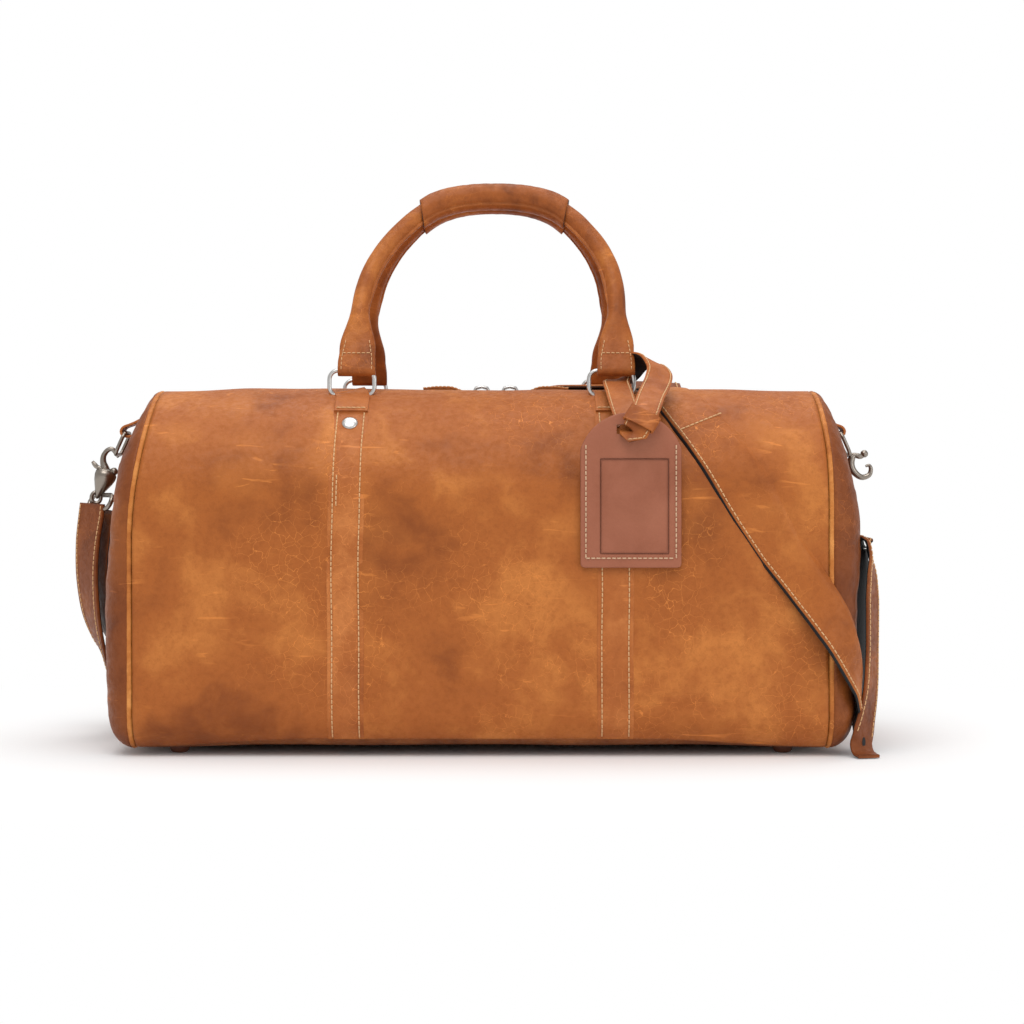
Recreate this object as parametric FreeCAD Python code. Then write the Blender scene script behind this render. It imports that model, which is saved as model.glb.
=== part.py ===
"""Leather weekender bag: sewn body, zipper, two handles, shoulder strap, hooks and luggage tag.

Frame: +X along the bag to the right, the front faces -Y, +Z up, origin on the floor under the centre foot.
All sizes are in millimetres.
"""
import FreeCAD, Part
import math
import os
from FreeCAD import Vector

# Body
seam_half = 245.0          # bag centre to the end seam, along X
body_depth = 240.0         # front to back
body_top = 258.0           # top of the leather above the floor
foot_height = 8.0          # floor to the underside of the bag
bottom_radius = 25.0       # long lower edges
top_radius = 85.0          # long upper edges
seam_height = 14.0         # bottom seam above the floor
seat = 0.05                # between leather layers that are sewn together
leather = 2.0              # thickness of the panels
piping_radius = 2.5
end_bulge = 20.0           # how far an end panel swells past its seam
clear = 0.3                # gap between pieces that move past each other

# Inside
lining_thickness = 1.0
board_thickness = 3.0
board_margin = 14.0        # board edge to the body's inner wall
washer_thickness = 0.8
washer_radius = 6.0

# Zipper
slot_half = 12.0           # half the gap between the leather edges
zip_half = 224.0           # zipper centre to its end
tape_half = 18.5
tape_thickness = 1.0
coil_inner = 0.6           # coil row to the zipper's middle plane
coil_width = 2.0
coil_height = 3.0
slider_length = 13.0
slider_width = 9.0
plate_thickness = 1.2
neck_thickness = 0.6
slider_x = {"left": -1.0, "right": 20.5}
crown_height = 3.2
pull_radius = 4.0
pull_wire = 0.7
pull_length = 44.0
pull_width = 10.0
pull_thickness = 2.4
end_tab_length = 16.0
end_tab_thickness = 1.5

# Handle straps, rings and rivets
strap_x = 94.0             # bag centre to a strap's middle
strap_width = 25.0
strap_thickness = 2.0
ring_in = 55.0             # front face to a handle ring
ring_width = 35.6          # outside
ring_height = 20.0         # outside
ring_corner = 3.0          # of the wire's middle line
wire_radius = 1.5
keeper_thickness = 2.0
keeper_width = 24.0
keeper_sew = (27.0, 38.0)  # the keeper's sewn end, degrees round the top edge
rivet_angle = 46.0         # degrees round the top edge
rivet_radius = 5.5
rivet_height = 1.8

# Handles
handle_rise = 141.0        # ring bar to the grip's middle line
handle_half = 91.0         # handle centre to a leg's middle line
side_arc = 75.0
top_arc = 95.0
leg_start = 14.0
cover_radius = 6.8
core_radius = 4.2
core_clear = 0.3
loop_width = 26.4
loop_length = 30.0
loop_thickness = 7.6
grip_half = 53.5
grip_radius = 11.5

# Feet
foot_radius = 7.0
foot_flat = 4.5
foot_in_x = 30.0           # end seam to a foot
foot_in_y = 32.0           # front face to a foot

# Ends: tabs, rings and hooks
tab_z = 237.0
tab_width = 16.0
tab_thickness = 3.0
d_ring_width = 26.0
d_ring_height = 20.0
d_ring_corner = 3.0
d_ring_wire = 1.6
hook_lean = 24.0           # rings and hooks at rest, out from straight down, degrees
hook_reach = 11.0
hook_slack = 0.7          # hook to the ring bar it hangs on
hook_wire = 2.0
strap_ring_width = 46.0
strap_ring_height = 15.0
strap_ring_wire = 1.8
strap_ring_corner = 4.0
strap_turn = 33.0          # left ring and strap, about the upright hook, degrees
strap_ring_drop = 0.9      # hook to the ring under it

# Shoulder strap
sling_width = 40.0
sling_thickness = 2.8
sling_gap = 0.6            # above the leather it lies on

# Luggage tag
tag_width = 70.0
tag_height = 105.0
tag_x = 100.5
tag_low = 136.0
tag_leather = 2.2
tag_gap = 0.4
tag_card_thickness = 0.6
tag_arch = 26.0
tag_strap_width = 18.0
tag_strap_thickness = 2.0
tag_slot_drop = 12.0       # slot below the tag's top
tag_slot_half = 3.2

half_depth = body_depth / 2
arc_y = half_depth - top_radius
ring_y = half_depth - ring_in
foot_x = seam_half - foot_in_x
foot_y = half_depth - foot_in_y
arc_z = body_top - top_radius
panel_half = seam_half - piping_radius
end_start = seam_half + piping_radius
end_wall = end_start + end_bulge


def save(name, shape):
    shape.exportStep(f"parts/{name}.step")


def outline(inset, x=0.0):
    """Closed outline of the bag's cross section in the plane X = x, moved inwards by inset."""
    low_r = max(bottom_radius - inset, 4.0)
    high_r = max(top_radius - inset, 6.0)
    side = half_depth - inset
    low = foot_height + inset
    high = body_top - inset
    k = math.sqrt(0.5)

    def arc(cy, cz, r, sy, sz, first_is_side):
        a = Vector(x, cy + sy * r, cz)
        m = Vector(x, cy + sy * r * k, cz + sz * r * k)
        b = Vector(x, cy, cz + sz * r)
        if not first_is_side:
            a, b = b, a
        return Part.Arc(a, m, b).toShape()

    corners = [
        arc(-side + high_r, high - high_r, high_r, -1, 1, True),
        arc(side - high_r, high - high_r, high_r, 1, 1, False),
        arc(side - low_r, low + low_r, low_r, 1, -1, True),
        arc(-side + low_r, low + low_r, low_r, -1, -1, False),
    ]
    edges = []
    for i, corner in enumerate(corners):
        following = corners[(i + 1) % len(corners)]
        edges.append(corner)
        a = corner.Vertexes[-1].Point
        b = following.Vertexes[0].Point
        edges.append(Part.makeLine(a, b))
    return Part.Wire(edges)


def prism(inset, x0, x1):
    """Solid of the bag's cross section between two X planes."""
    return Part.Face(outline(inset, x0)).extrude(Vector(x1 - x0, 0, 0))


def layer(outer_inset, inner_inset, x0, x1):
    """Open tube of leather between two insets."""
    return prism(outer_inset, x0, x1).cut(prism(inner_inset, x0, x1))


def block(x0, x1, y0, y1, z0, z1):
    return Part.makeBox(x1 - x0, y1 - y0, z1 - z0, Vector(x0, y0, z0))


def rod(radius, a, b):
    a = Vector(*a)
    b = Vector(*b)
    return Part.makeCylinder(radius, (b - a).Length, a, b - a)


def mirror_y(shape):
    return shape.mirror(Vector(0, 0, 0), Vector(0, 1, 0))


def mirror_x(shape):
    return shape.mirror(Vector(0, 0, 0), Vector(1, 0, 0))


def moved(shape, x=0.0, y=0.0, z=0.0):
    copy = shape.copy()
    copy.translate(Vector(x, y, z))
    return copy


def turned(shape, centre, axis, degrees):
    copy = shape.copy()
    copy.rotate(Vector(*centre), Vector(*axis), degrees)
    return copy


def on_top_edge(degrees, out):
    """Y and Z of a point out from the leather, degrees round the front top edge from straight up."""
    a = math.radians(degrees)
    reach = top_radius + out
    return -arc_y - reach * math.sin(a), arc_z + reach * math.cos(a)


# Leather body

def front_panel():
    wide = seam_half + end_bulge
    keep = block(-wide, wide, -body_depth, -slot_half, seam_height, body_top + 10)
    return layer(0, leather, -panel_half, panel_half).common(keep)


def bottom_panel():
    wide = seam_half + end_bulge
    keep = block(-wide, wide, -body_depth, body_depth, 0, seam_height)
    return layer(0, leather, -panel_half, panel_half).common(keep)


def dome(inset, reach):
    """Solid that swells out from the right end seam by reach."""
    steps = [(0.0, 0.0), (0.35, 3.0), (0.7, 12.0), (0.92, 30.0), (1.0, 55.0)]
    wires = [outline(inset + pull_in, end_start + reach * share) for share, pull_in in steps]
    return Part.makeLoft(wires, True, True)


def end_panel():
    inner = moved(dome(leather, end_bulge), -leather)
    return dome(0, end_bulge).cut(inner)


def piping():
    path = outline(leather / 2, seam_half)
    start = path.Edges[0].Vertexes[0].Point
    tangent = path.Edges[0].tangentAt(path.Edges[0].FirstParameter)
    ring = Part.Wire(Part.Circle(start, tangent, piping_radius).toShape())
    return path.makePipeShell([ring], True, False)


def lining():
    outer_inset = leather + clear
    inner_inset = outer_inset + lining_thickness
    outer = prism(outer_inset, -panel_half, panel_half)
    inner = prism(inner_inset, -panel_half + lining_thickness, panel_half - lining_thickness)
    mouth = block(-zip_half - 4, zip_half + 4, -tape_half - 1, tape_half + 1, arc_z, body_top)
    return outer.cut(inner).cut(mouth)


inside_floor = foot_height + leather + clear + lining_thickness


def base_board():
    low = inside_floor + washer_thickness + 2 * clear
    x = panel_half - board_margin
    y = half_depth - bottom_radius
    return block(-x, x, -y, y, low, low + board_thickness)


def foot_places():
    return [(sx * foot_x, sy * foot_y) for sx in (-1, 1) for sy in (-1, 1)] + [(0.0, 0.0)]


def feet():
    cone = Part.makeCone(foot_flat, foot_radius, foot_height)
    return Part.makeCompound([moved(cone, x, y) for x, y in foot_places()])


def foot_washers():
    disc = Part.makeCylinder(washer_radius, washer_thickness, Vector(0, 0, inside_floor + clear))
    return Part.makeCompound([moved(disc, x, y) for x, y in foot_places()])


# Zipper along the top

tape_top = body_top - leather - clear
tape_low = tape_top - tape_thickness
coil_low = tape_low - (coil_height - tape_thickness) / 2
coil_top = coil_low + coil_height


def zipper_tape():
    """Front tape; the rear one mirrors it."""
    return block(-zip_half, zip_half, -tape_half, -coil_inner - coil_width - 0.1, tape_low, tape_top)


def zipper_coil():
    return block(-zip_half, zip_half, -coil_inner - coil_width, -coil_inner, coil_low, coil_top)


def zipper_stops():
    stop = block(zip_half + 0.1, zip_half + 3, -coil_inner - coil_width, coil_inner + coil_width,
                 coil_low, coil_top)
    return Part.makeCompound([stop, mirror_x(stop)])


def zipper_end_tabs():
    tab = block(panel_half - end_tab_length, panel_half, -slot_half - 6, slot_half + 6,
                body_top, body_top + end_tab_thickness)
    return Part.makeCompound([tab, mirror_x(tab)])


plate_low = coil_low - clear - plate_thickness
plate_high = coil_top + clear
crown_z = plate_high + plate_thickness


def slider(side):
    x = slider_x[side]
    half = slider_length / 2
    wide = slider_width / 2
    top = block(x - half, x + half, -wide, wide, plate_high, crown_z)
    low = block(x - half, x + half, -wide, wide, plate_low, plate_low + plate_thickness)
    neck = block(x - half, x + half, -neck_thickness / 2, neck_thickness / 2, plate_low, crown_z)
    crown = block(x - 4, x + 4, -1, 1, crown_z, crown_z + crown_height)
    eye = block(x - 2.8, x + 2.8, -1, 1, crown_z, crown_z + 2 * (pull_wire + clear))
    return top.fuse([low, neck, crown]).cut(eye).removeSplitter()


def pull_side(side):
    return -1 if side == "left" else 1


def pull_axis_z():
    return crown_z + pull_wire + clear


def pull_link(side):
    """Wire link through the slider's crown, lying outwards."""
    x = slider_x[side]
    sign = pull_side(side)
    z = pull_axis_z()
    y = pull_radius
    far = x + sign * (pull_radius * 2 + 1)
    bars = [rod(pull_wire, (x, -y, z), (x, y, z)), rod(pull_wire, (far, -y, z), (far, y, z))]
    sides = [rod(pull_wire, (x, s * y, z), (far, s * y, z)) for s in (-1, 1)]
    corners = [Part.makeSphere(pull_wire, Vector(cx, s * y, z)) for cx in (x, far) for s in (-1, 1)]
    return bars[0].fuse(bars[1:] + sides + corners).removeSplitter()


def pull_tab(side):
    """Leather tab folded round the link's outer bar."""
    x = slider_x[side]
    sign = pull_side(side)
    z = pull_axis_z()
    bar = x + sign * (pull_radius * 2 + 1)
    tip = x + sign * pull_length
    inner = pull_radius - pull_wire - clear
    head = rod(pull_wire + clear + 0.7, (bar, -inner, z), (bar, inner, z))
    neck = block(min(bar, bar + sign * 6), max(bar, bar + sign * 6), -inner, inner,
                 z - pull_thickness / 2, z + pull_thickness / 2)
    start = bar + sign * 5
    tab = block(min(start, tip), max(start, tip), -pull_width / 2, pull_width / 2,
                z - pull_thickness / 2, z + pull_thickness / 2)
    hole = rod(pull_wire + 0.05, (bar, -pull_width, z), (bar, pull_width, z))
    return head.fuse([neck, tab]).cut(hole).removeSplitter()


# Handle straps, keepers and rings

bar_out = keeper_thickness + clear + wire_radius + seat
bar_angle = math.degrees(math.asin((ring_y - arc_y) / (top_radius + bar_out)))
bar_y, bar_z = on_top_edge(bar_angle, bar_out)
hinge_z = bar_z + ring_height - 2 * wire_radius


def handle_strap():
    half = strap_width / 2
    end_y = on_top_edge(bar_angle, 0)[0] - bar_out
    keep = block(-half, half, -body_depth, end_y, seam_height + 0.5, body_top + 10)
    return layer(-strap_thickness - seat, -seat, -half, half).common(keep)


def keeper():
    half = keeper_width / 2
    outer = bar_out - seat
    loop = rod(outer, (-half, bar_y, bar_z), (half, bar_y, bar_z))
    patch = layer(-strap_thickness - keeper_thickness, -strap_thickness - 2 * seat, -half, half)
    y0 = on_top_edge(keeper_sew[1], strap_thickness)[0]
    patch = patch.common(block(-half, half, y0, bar_y, arc_z, body_top + 10))
    hole = rod(wire_radius + clear, (-strap_width, bar_y, bar_z), (strap_width, bar_y, bar_z))
    return loop.fuse(patch).cut(hole).removeSplitter()


def wire_loop(width, height, corner, radius):
    """Wire ring in the XZ plane: its lower bar lies on the X axis."""
    w = width / 2 - radius
    h = height - 2 * radius
    r = corner
    k = r * (1 - math.sqrt(0.5))
    points = [Vector(-w + r, 0, 0), Vector(w - r, 0, 0), Vector(w, 0, r), Vector(w, 0, h - r),
              Vector(w - r, 0, h), Vector(-w + r, 0, h), Vector(-w, 0, h - r), Vector(-w, 0, r)]
    middles = [Vector(w - k, 0, k), Vector(w - k, 0, h - k), Vector(-w + k, 0, h - k), Vector(-w + k, 0, k)]
    edges = []
    for i in range(4):
        a, b, c = points[2 * i], points[2 * i + 1], points[(2 * i + 2) % 8]
        edges.append(Part.makeLine(a, b))
        edges.append(Part.Arc(b, middles[i], c).toShape())
    circle = Part.Wire(Part.Circle(points[0], Vector(1, 0, 0), radius).toShape())
    return Part.Wire(edges).makePipeShell([circle], True, False)


def handle_ring():
    return moved(wire_loop(ring_width, ring_height, ring_corner, wire_radius), 0, bar_y, bar_z)


def rivet(x, out, height, radius, name_side):
    """Disc standing on the leather or, with a negative out, inside it."""
    y, z = on_top_edge(rivet_angle, out)
    a = math.radians(rivet_angle)
    disc = Part.makeCylinder(radius, height, Vector(x, y, z), Vector(0, -math.sin(a), math.cos(a)))
    return disc if name_side == "front" else mirror_y(disc)


def rivets():
    discs = [rivet(sx * strap_x, strap_thickness + 2 * seat, rivet_height, rivet_radius, side)
             for sx in (-1, 1) for side in ("front", "rear")]
    return Part.makeCompound(discs)


def rivet_washers():
    inside = -(leather + clear + lining_thickness + clear + washer_thickness)
    discs = [rivet(sx * strap_x, inside, washer_thickness, washer_radius, side)
             for sx in (-1, 1) for side in ("front", "rear")]
    return Part.makeCompound(discs)


# Handles, built upright over the ring bar and then leaned inwards

lean = math.degrees(math.asin((ring_y - grip_radius - clear / 2) / handle_rise))


def handle_path(first, last_x):
    """Middle line from leg to leg. last_x limits it to the arch's middle part."""
    top_z = handle_rise - top_arc
    if last_x is not None:
        z = top_z + math.sqrt(top_arc ** 2 - last_x ** 2)
        arc = Part.Arc(Vector(-last_x, 0, z), Vector(0, 0, handle_rise), Vector(last_x, 0, z))
        return Part.Wire([arc.toShape()])
    side_x = handle_half - side_arc
    side_z = top_z + math.sqrt((top_arc - side_arc) ** 2 - side_x ** 2)
    joint = math.atan2(side_x, side_z - top_z)
    jx = top_arc * math.sin(joint)
    jz = top_z + top_arc * math.cos(joint)
    half_turn = (joint + math.pi / 2) / 2
    mx = side_x + side_arc * math.sin(half_turn)
    mz = side_z + side_arc * math.cos(half_turn)
    x = handle_half
    return Part.Wire([
        Part.makeLine(Vector(-x, 0, first), Vector(-x, 0, side_z)),
        Part.Arc(Vector(-x, 0, side_z), Vector(-mx, 0, mz), Vector(-jx, 0, jz)).toShape(),
        Part.Arc(Vector(-jx, 0, jz), Vector(0, 0, handle_rise), Vector(jx, 0, jz)).toShape(),
        Part.Arc(Vector(jx, 0, jz), Vector(mx, 0, mz), Vector(x, 0, side_z)).toShape(),
        Part.makeLine(Vector(x, 0, side_z), Vector(x, 0, first)),
    ])


def tube(path, radius):
    edge = path.Edges[0]
    start = edge.valueAt(edge.FirstParameter)
    tangent = edge.tangentAt(edge.FirstParameter)
    circle = Part.Wire(Part.Circle(start, tangent, radius).toShape())
    return path.makePipeShell([circle], True, False)


def handle_place(shape):
    """Front handle: hinge on the ring's upper bar, leaned inwards."""
    return turned(moved(shape, 0, bar_y, hinge_z), (0, bar_y, hinge_z), (1, 0, 0), -lean)


def handle_loop(sign):
    """Flat leather loop round the ring bar, closed on the handle's leg."""
    half = loop_width / 2
    thick = loop_thickness / 2
    x = sign * strap_x
    end = rod(thick, (x - half, 0, 0), (x + half, 0, 0))
    flat = block(x - half, x + half, -thick, thick, 0, loop_length)
    return end.fuse(flat)


def handle_cover():
    path = handle_path(leg_start, None)
    body = tube(path, cover_radius)
    for sign in (-1, 1):
        body = body.fuse(handle_loop(sign))
    body = body.cut(tube(handle_path(leg_start + 4, None), core_radius + core_clear))
    for sign in (-1, 1):
        x = sign * strap_x
        body = body.cut(rod(wire_radius + clear, (x - 20, 0, 0), (x + 20, 0, 0)))
    return handle_place(body.removeSplitter())


def handle_core():
    return handle_place(tube(handle_path(leg_start + 5, None), core_radius))


def handle_grip():
    outer = tube(handle_path(0, grip_half), grip_radius)
    bore = tube(handle_path(0, grip_half + 3), cover_radius + 0.1)
    return handle_place(outer.cut(bore))


# Ends: tab, ring and hook. Built at the right end, where x grows outwards.

tab_x = end_wall + 1.5


def end_tab():
    half = tab_width / 2
    loop = rod(d_ring_wire + clear + 1.6, (tab_x + 2.2, -half, tab_z - 6), (tab_x + 2.2, half, tab_z - 6))
    plate = block(end_start + 9, tab_x + 3.2, -half, half, tab_z - 6, tab_z - 6 + tab_thickness)
    riser = block(end_start + 9, end_start + 9 + tab_thickness, -half, half, tab_z - 6, tab_z + 12)
    hole = rod(d_ring_wire + clear, (tab_x + 2.2, -tab_width, tab_z - 6), (tab_x + 2.2, tab_width, tab_z - 6))
    solid = loop.fuse([plate, riser]).cut(hole)
    return solid.cut(dome(0, end_bulge)).removeSplitter()


end_bar_x = tab_x + 2.2
end_bar_z = tab_z - 6


def leaned(shape):
    """Turns a hanging piece outwards about the tab's bar."""
    return turned(shape, (end_bar_x, 0, end_bar_z), (0, 1, 0), -hook_lean)


def end_ring():
    """Ring hanging from the tab, its bars along Y."""
    loop = wire_loop(d_ring_width, d_ring_height, d_ring_corner, d_ring_wire)
    loop = turned(loop, (0, 0, 0), (1, 0, 0), 180)
    loop = turned(loop, (0, 0, 0), (0, 0, 1), 90)
    return leaned(moved(loop, end_bar_x, 0, end_bar_z))


hook_z = end_bar_z - (d_ring_height - 2 * d_ring_wire)
hook_radius = hook_wire + d_ring_wire + hook_slack


def hook_arc():
    """Hook wire over the ring's lower bar, open on the outer side, in the XZ plane."""
    r = hook_radius
    start = Vector(-r, 0, -hook_reach)
    path = Part.Wire([
        Part.makeLine(start, Vector(-r, 0, 0)),
        Part.Arc(Vector(-r, 0, 0), Vector(0, 0, r), Vector(r, 0, 0)).toShape(),
        Part.makeLine(Vector(r, 0, 0), Vector(r, 0, -hook_reach * 0.45)),
    ])
    return tube(path, hook_wire), r


def hook_body():
    """Hook with its barrel and the swivel neck below it."""
    wire, r = hook_arc()
    barrel = Part.makeCone(3.2, 5.6, 13.0, Vector(-r, 0, -hook_reach - 12))
    neck = Part.makeCylinder(2.0, 7.0, Vector(-r, 0, -hook_reach - 18))
    foot = Part.makeCylinder(3.6, 2.4, Vector(-r, 0, -hook_reach - 20))
    solid = wire.fuse([barrel, neck, foot]).removeSplitter()
    return leaned(moved(solid, end_bar_x, 0, hook_z))


def hook_trigger():
    """Spring-loaded bolt that closes the hook, with its thumb stud. It travels down."""
    r = hook_radius
    x = r
    bolt = Part.makeCylinder(1.3, 8.0, Vector(x, 0, -hook_reach * 0.45 - 8.3))
    arm = block(-r + 6.0, x + 1.3, -1.2, 1.2, -hook_reach - 0.5, -hook_reach * 0.45 - 5.5)
    stud = Part.makeCylinder(1.8, 5.0, Vector(x, 0, -hook_reach + 1), Vector(1, 0, -0.5))
    solid = bolt.fuse([arm, stud]).removeSplitter()
    return leaned(moved(solid, end_bar_x, 0, hook_z))


def left(shape):
    return mirror_x(shape)


swivel_x = end_bar_x - hook_radius
strap_ring_top = hook_z - hook_reach - 20 - strap_ring_wire - strap_ring_drop


def leaned_place(x, z):
    """X and Z that a point of a hanging piece takes when leaned outwards."""
    a = math.radians(hook_lean)
    dx = x - end_bar_x
    dz = z - end_bar_z
    return end_bar_x + dx * math.cos(a) - dz * math.sin(a), end_bar_z + dx * math.sin(a) + dz * math.cos(a)


swivel_foot_x, swivel_foot_z = leaned_place(swivel_x, strap_ring_top)


def strap_ring():
    """Flat ring under the left hook, turned to face partly forwards."""
    loop = wire_loop(strap_ring_width, strap_ring_height, strap_ring_corner, strap_ring_wire)
    loop = turned(loop, (0, 0, 0), (1, 0, 0), 180)
    loop = turned(loop, (0, 0, 0), (0, 0, 1), 90)
    loop = leaned(moved(loop, swivel_x, 0, strap_ring_top))
    return left(turned(loop, (swivel_foot_x, 0, swivel_foot_z), (0, 0, 1), -strap_turn))


# Shoulder strap: a ribbon through stations, each a place and the direction its brown face looks

def ribbon(stations, width, thickness, out=0.0):
    """Closed ribbon. out lifts its inner face from the stations along the face direction."""
    places = [Vector(*place) for place, _ in stations]
    count = len(places)
    corners = []
    for i, (_, face) in enumerate(stations):
        along = places[min(i + 1, count - 1)] - places[max(i - 1, 0)]
        along.normalize()
        face = Vector(*face)
        across = face.cross(along)
        across.normalize()
        face = along.cross(across)
        face.normalize()
        w = across * (width / 2)
        inner = places[i] + face * out
        outer = inner + face * thickness
        corners.append([inner - w, inner + w, outer + w, outer - w])
    faces = [flat(corners[0])]
    for a, b in zip(corners, corners[1:]):
        for k in range(4):
            n = (k + 1) % 4
            faces.append(flat([a[k], a[n], b[n]]))
            faces.append(flat([a[k], b[n], b[k]]))
    faces.append(flat(corners[-1]))
    solid = Part.makeSolid(Part.makeShell(faces))
    if solid.Volume < 0:
        solid.reverse()
    return solid


def flat(points):
    return Part.Face(Part.makePolygon(points + [points[0]]))


def on_body(x, s):
    """Station on the leather, s millimetres round from the top's middle; positive s is the front."""
    side = -1 if s > 0 else 1
    run = abs(s)
    arc_length = top_radius * math.pi / 2
    if run <= arc_y:
        return (x, side * run, body_top), (0, 0, 1)
    if run <= arc_y + arc_length:
        a = (run - arc_y) / top_radius
        place = (x, side * (arc_y + top_radius * math.sin(a)), arc_z + top_radius * math.cos(a))
        return place, (0, side * math.sin(a), math.cos(a))
    return (x, side * half_depth, arc_z - (run - arc_y - arc_length)), (0, side, 0)


def blend_route(route, steps):
    """Adds evenly spread points between the chosen ones, on straight runs of the flattened leather."""
    points = []
    for a, b in zip(route, route[1:]):
        for i in range(steps):
            t = i / steps
            points.append((a[0] + (b[0] - a[0]) * t, a[1] + (b[1] - a[1]) * t))
    return points + [route[-1]]


front_route = [(131, 4), (131, 22), (134, 44), (140, 72), (152, 102), (186, 152), (214, 194)]
rear_route = [(131, 3.7), (131, -20), (134, -50), (136, -85), (126, -125), (95, -160), (40, -192), (-40, -225),
              (-130, -255), (-208, -283)]
rear_lift = strap_thickness + clear
rear_end = on_body(*rear_route[-1])[0]


def sling_front():
    """Over the top beside the handle, down the front and round the front edge of the right end."""
    stations = [on_body(x, s) for x, s in blend_route(front_route, 6)]
    side = half_depth
    stations += [
        ((panel_half - 5, -side - 2.5, 119), (0.05, -1, 0)),
        ((end_start + 6, -side - 5.5, 94), (0.35, -1, 0)),
        ((end_wall - 4, -side + 1.5, 71), (0.8, -0.7, 0)),
        ((end_wall + 0.6, -side + 15, 53), (1, -0.05, 0)),
        ((end_wall + 0.6, -side + 28, 41), (1, 0, 0)),
        ((end_wall + 0.6, -side + 32.4, 32.7), (1, 0, 0)),
    ]
    return ribbon(stations, sling_width, sling_thickness, sling_gap)


def sling_rear():
    stations = [on_body(x, s) for x, s in blend_route(rear_route, 3)]
    lifted = []
    for i, (place, face) in enumerate(stations):
        lift = min(rear_lift, sling_gap + i * 0.6) - sling_gap
        lifted.append((tuple(p + lift * f for p, f in zip(place, face)), face))
    return ribbon(lifted, sling_width, sling_thickness, sling_gap)


def sling_right_rise():
    """Turns up at the lower right end, black side out."""
    y = -half_depth
    stations = [
        ((end_wall + 0.6, y + 33.4, 30.9), (1, 0, 0)),
        ((end_wall + 0.8, y + 37, 24), (1, 0, 0)),
        ((end_wall + 1.9, y + 38.5, 18), (0.8, 0, 0.6)),
        ((end_wall + 4.9, y + 39, 15.5), (0, 0, 1)),
        ((end_wall + 7.9, y + 39.5, 18), (-0.8, 0, 0.6)),
        ((end_wall + 9.0, y + 40, 24), (-1, 0, 0)),
        ((end_wall + 9.0, y + 38, 80), (-1, 0, 0)),
        ((end_wall + 9.0, y + 36, 138), (-1, 0, 0)),
    ]
    return ribbon(stations, sling_width * 0.7, sling_thickness)


def sling_right_fall():
    """Over the fold and down to the floor, brown side out, ending in a slotted tongue."""
    y = -half_depth
    stations = [
        ((end_wall + 9.0, y + 36, 138.3), (-1, 0, 0)),
        ((end_wall + 8.8, y + 35.7, 147), (-0.9, 0, 0.3)),
        ((end_wall + 10.0, y + 35.5, 151), (0, 0, 1)),
        ((end_wall + 11.4, y + 35, 147), (0.9, 0, 0.3)),
        ((end_wall + 12.0, y + 34, 138), (1, -0.05, 0)),
        ((end_wall + 12.2, y + 30, 84), (1, -0.15, 0)),
        ((end_wall + 11.6, y + 24, 34), (1, -0.2, 0)),
        ((end_wall + 9.6, y + 20, 5), (1, -0.2, 0)),
    ]
    return ribbon(stations, sling_width * 0.7, sling_thickness)


def sling_left():
    """Hangs from the left ring, swings round the rear corner and meets the rear run."""
    x, y, z = rear_end
    side = half_depth
    below = strap_ring_top - strap_ring_height + strap_ring_wire - 3 * clear
    out_x, top = leaned_place(swivel_x, below)
    a = math.radians(strap_turn)
    hang = -(swivel_foot_x + (out_x - swivel_foot_x) * math.cos(a))
    forward = -(out_x - swivel_foot_x) * math.sin(a)
    stations = [
        ((hang, forward, top), (-math.cos(a), -math.sin(a), 0)),
        ((hang - 3, forward + 1, top - 45), (-1, -0.6, 0)),
        ((hang - 1, 4, top - 90), (-1, -0.45, 0)),
        ((hang + 5, 16, top - 122), (-1, -0.1, -0.1)),
        ((-end_wall - 8, 48, top - 136), (-1, 0.1, -0.1)),
        ((-end_wall - 4, 84, 38), (-1, 0.3, 0)),
        ((-end_wall - 1, side - 12, 41), (-1, 0.6, 0)),
        ((-end_start - 14, side + 3, 46), (-0.7, 1, 0)),
        ((-end_start, side + 5.5, z - 14), (-0.15, 1, 0)),
        ((x - 18, y + rear_lift + 1, z - 6.3), (0, 1, 0)),
        ((x - 0.4, y + rear_lift, z - 0.14), (0, 1, 0)),
    ]
    return ribbon(stations, sling_width, sling_thickness)


# Luggage tag

tag_back_y = -(half_depth + strap_thickness + 1.2)
tag_front_y = tag_back_y - tag_leather - tag_card_thickness - tag_gap


def tag_outline(y, margin):
    """Arch-topped outline in the plane Y = y, pulled in by margin."""
    half = tag_width / 2 - margin
    low = tag_low + margin
    high = tag_low + tag_height - margin
    shoulder = high - tag_arch + margin * 0.4
    a = Vector(tag_x - half, y, low)
    b = Vector(tag_x + half, y, low)
    c = Vector(tag_x + half, y, shoulder)
    d = Vector(tag_x - half, y, shoulder)
    arch = Part.Arc(c, Vector(tag_x, y, high), d).toShape()
    return Part.Wire([Part.makeLine(a, b), Part.makeLine(b, c), arch, Part.makeLine(d, a)])


def tag_slot(y0, y1):
    z = tag_low + tag_height - tag_slot_drop
    half = tag_strap_width / 2 + 1
    return block(tag_x - half, tag_x + half, y0, y1, z - tag_slot_half, z + tag_slot_half)


def tag_plate(y, thickness, margin):
    plate = Part.Face(tag_outline(y, margin)).extrude(Vector(0, -thickness, 0))
    return plate.cut(tag_slot(y - thickness - 1, y + 1))


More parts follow.
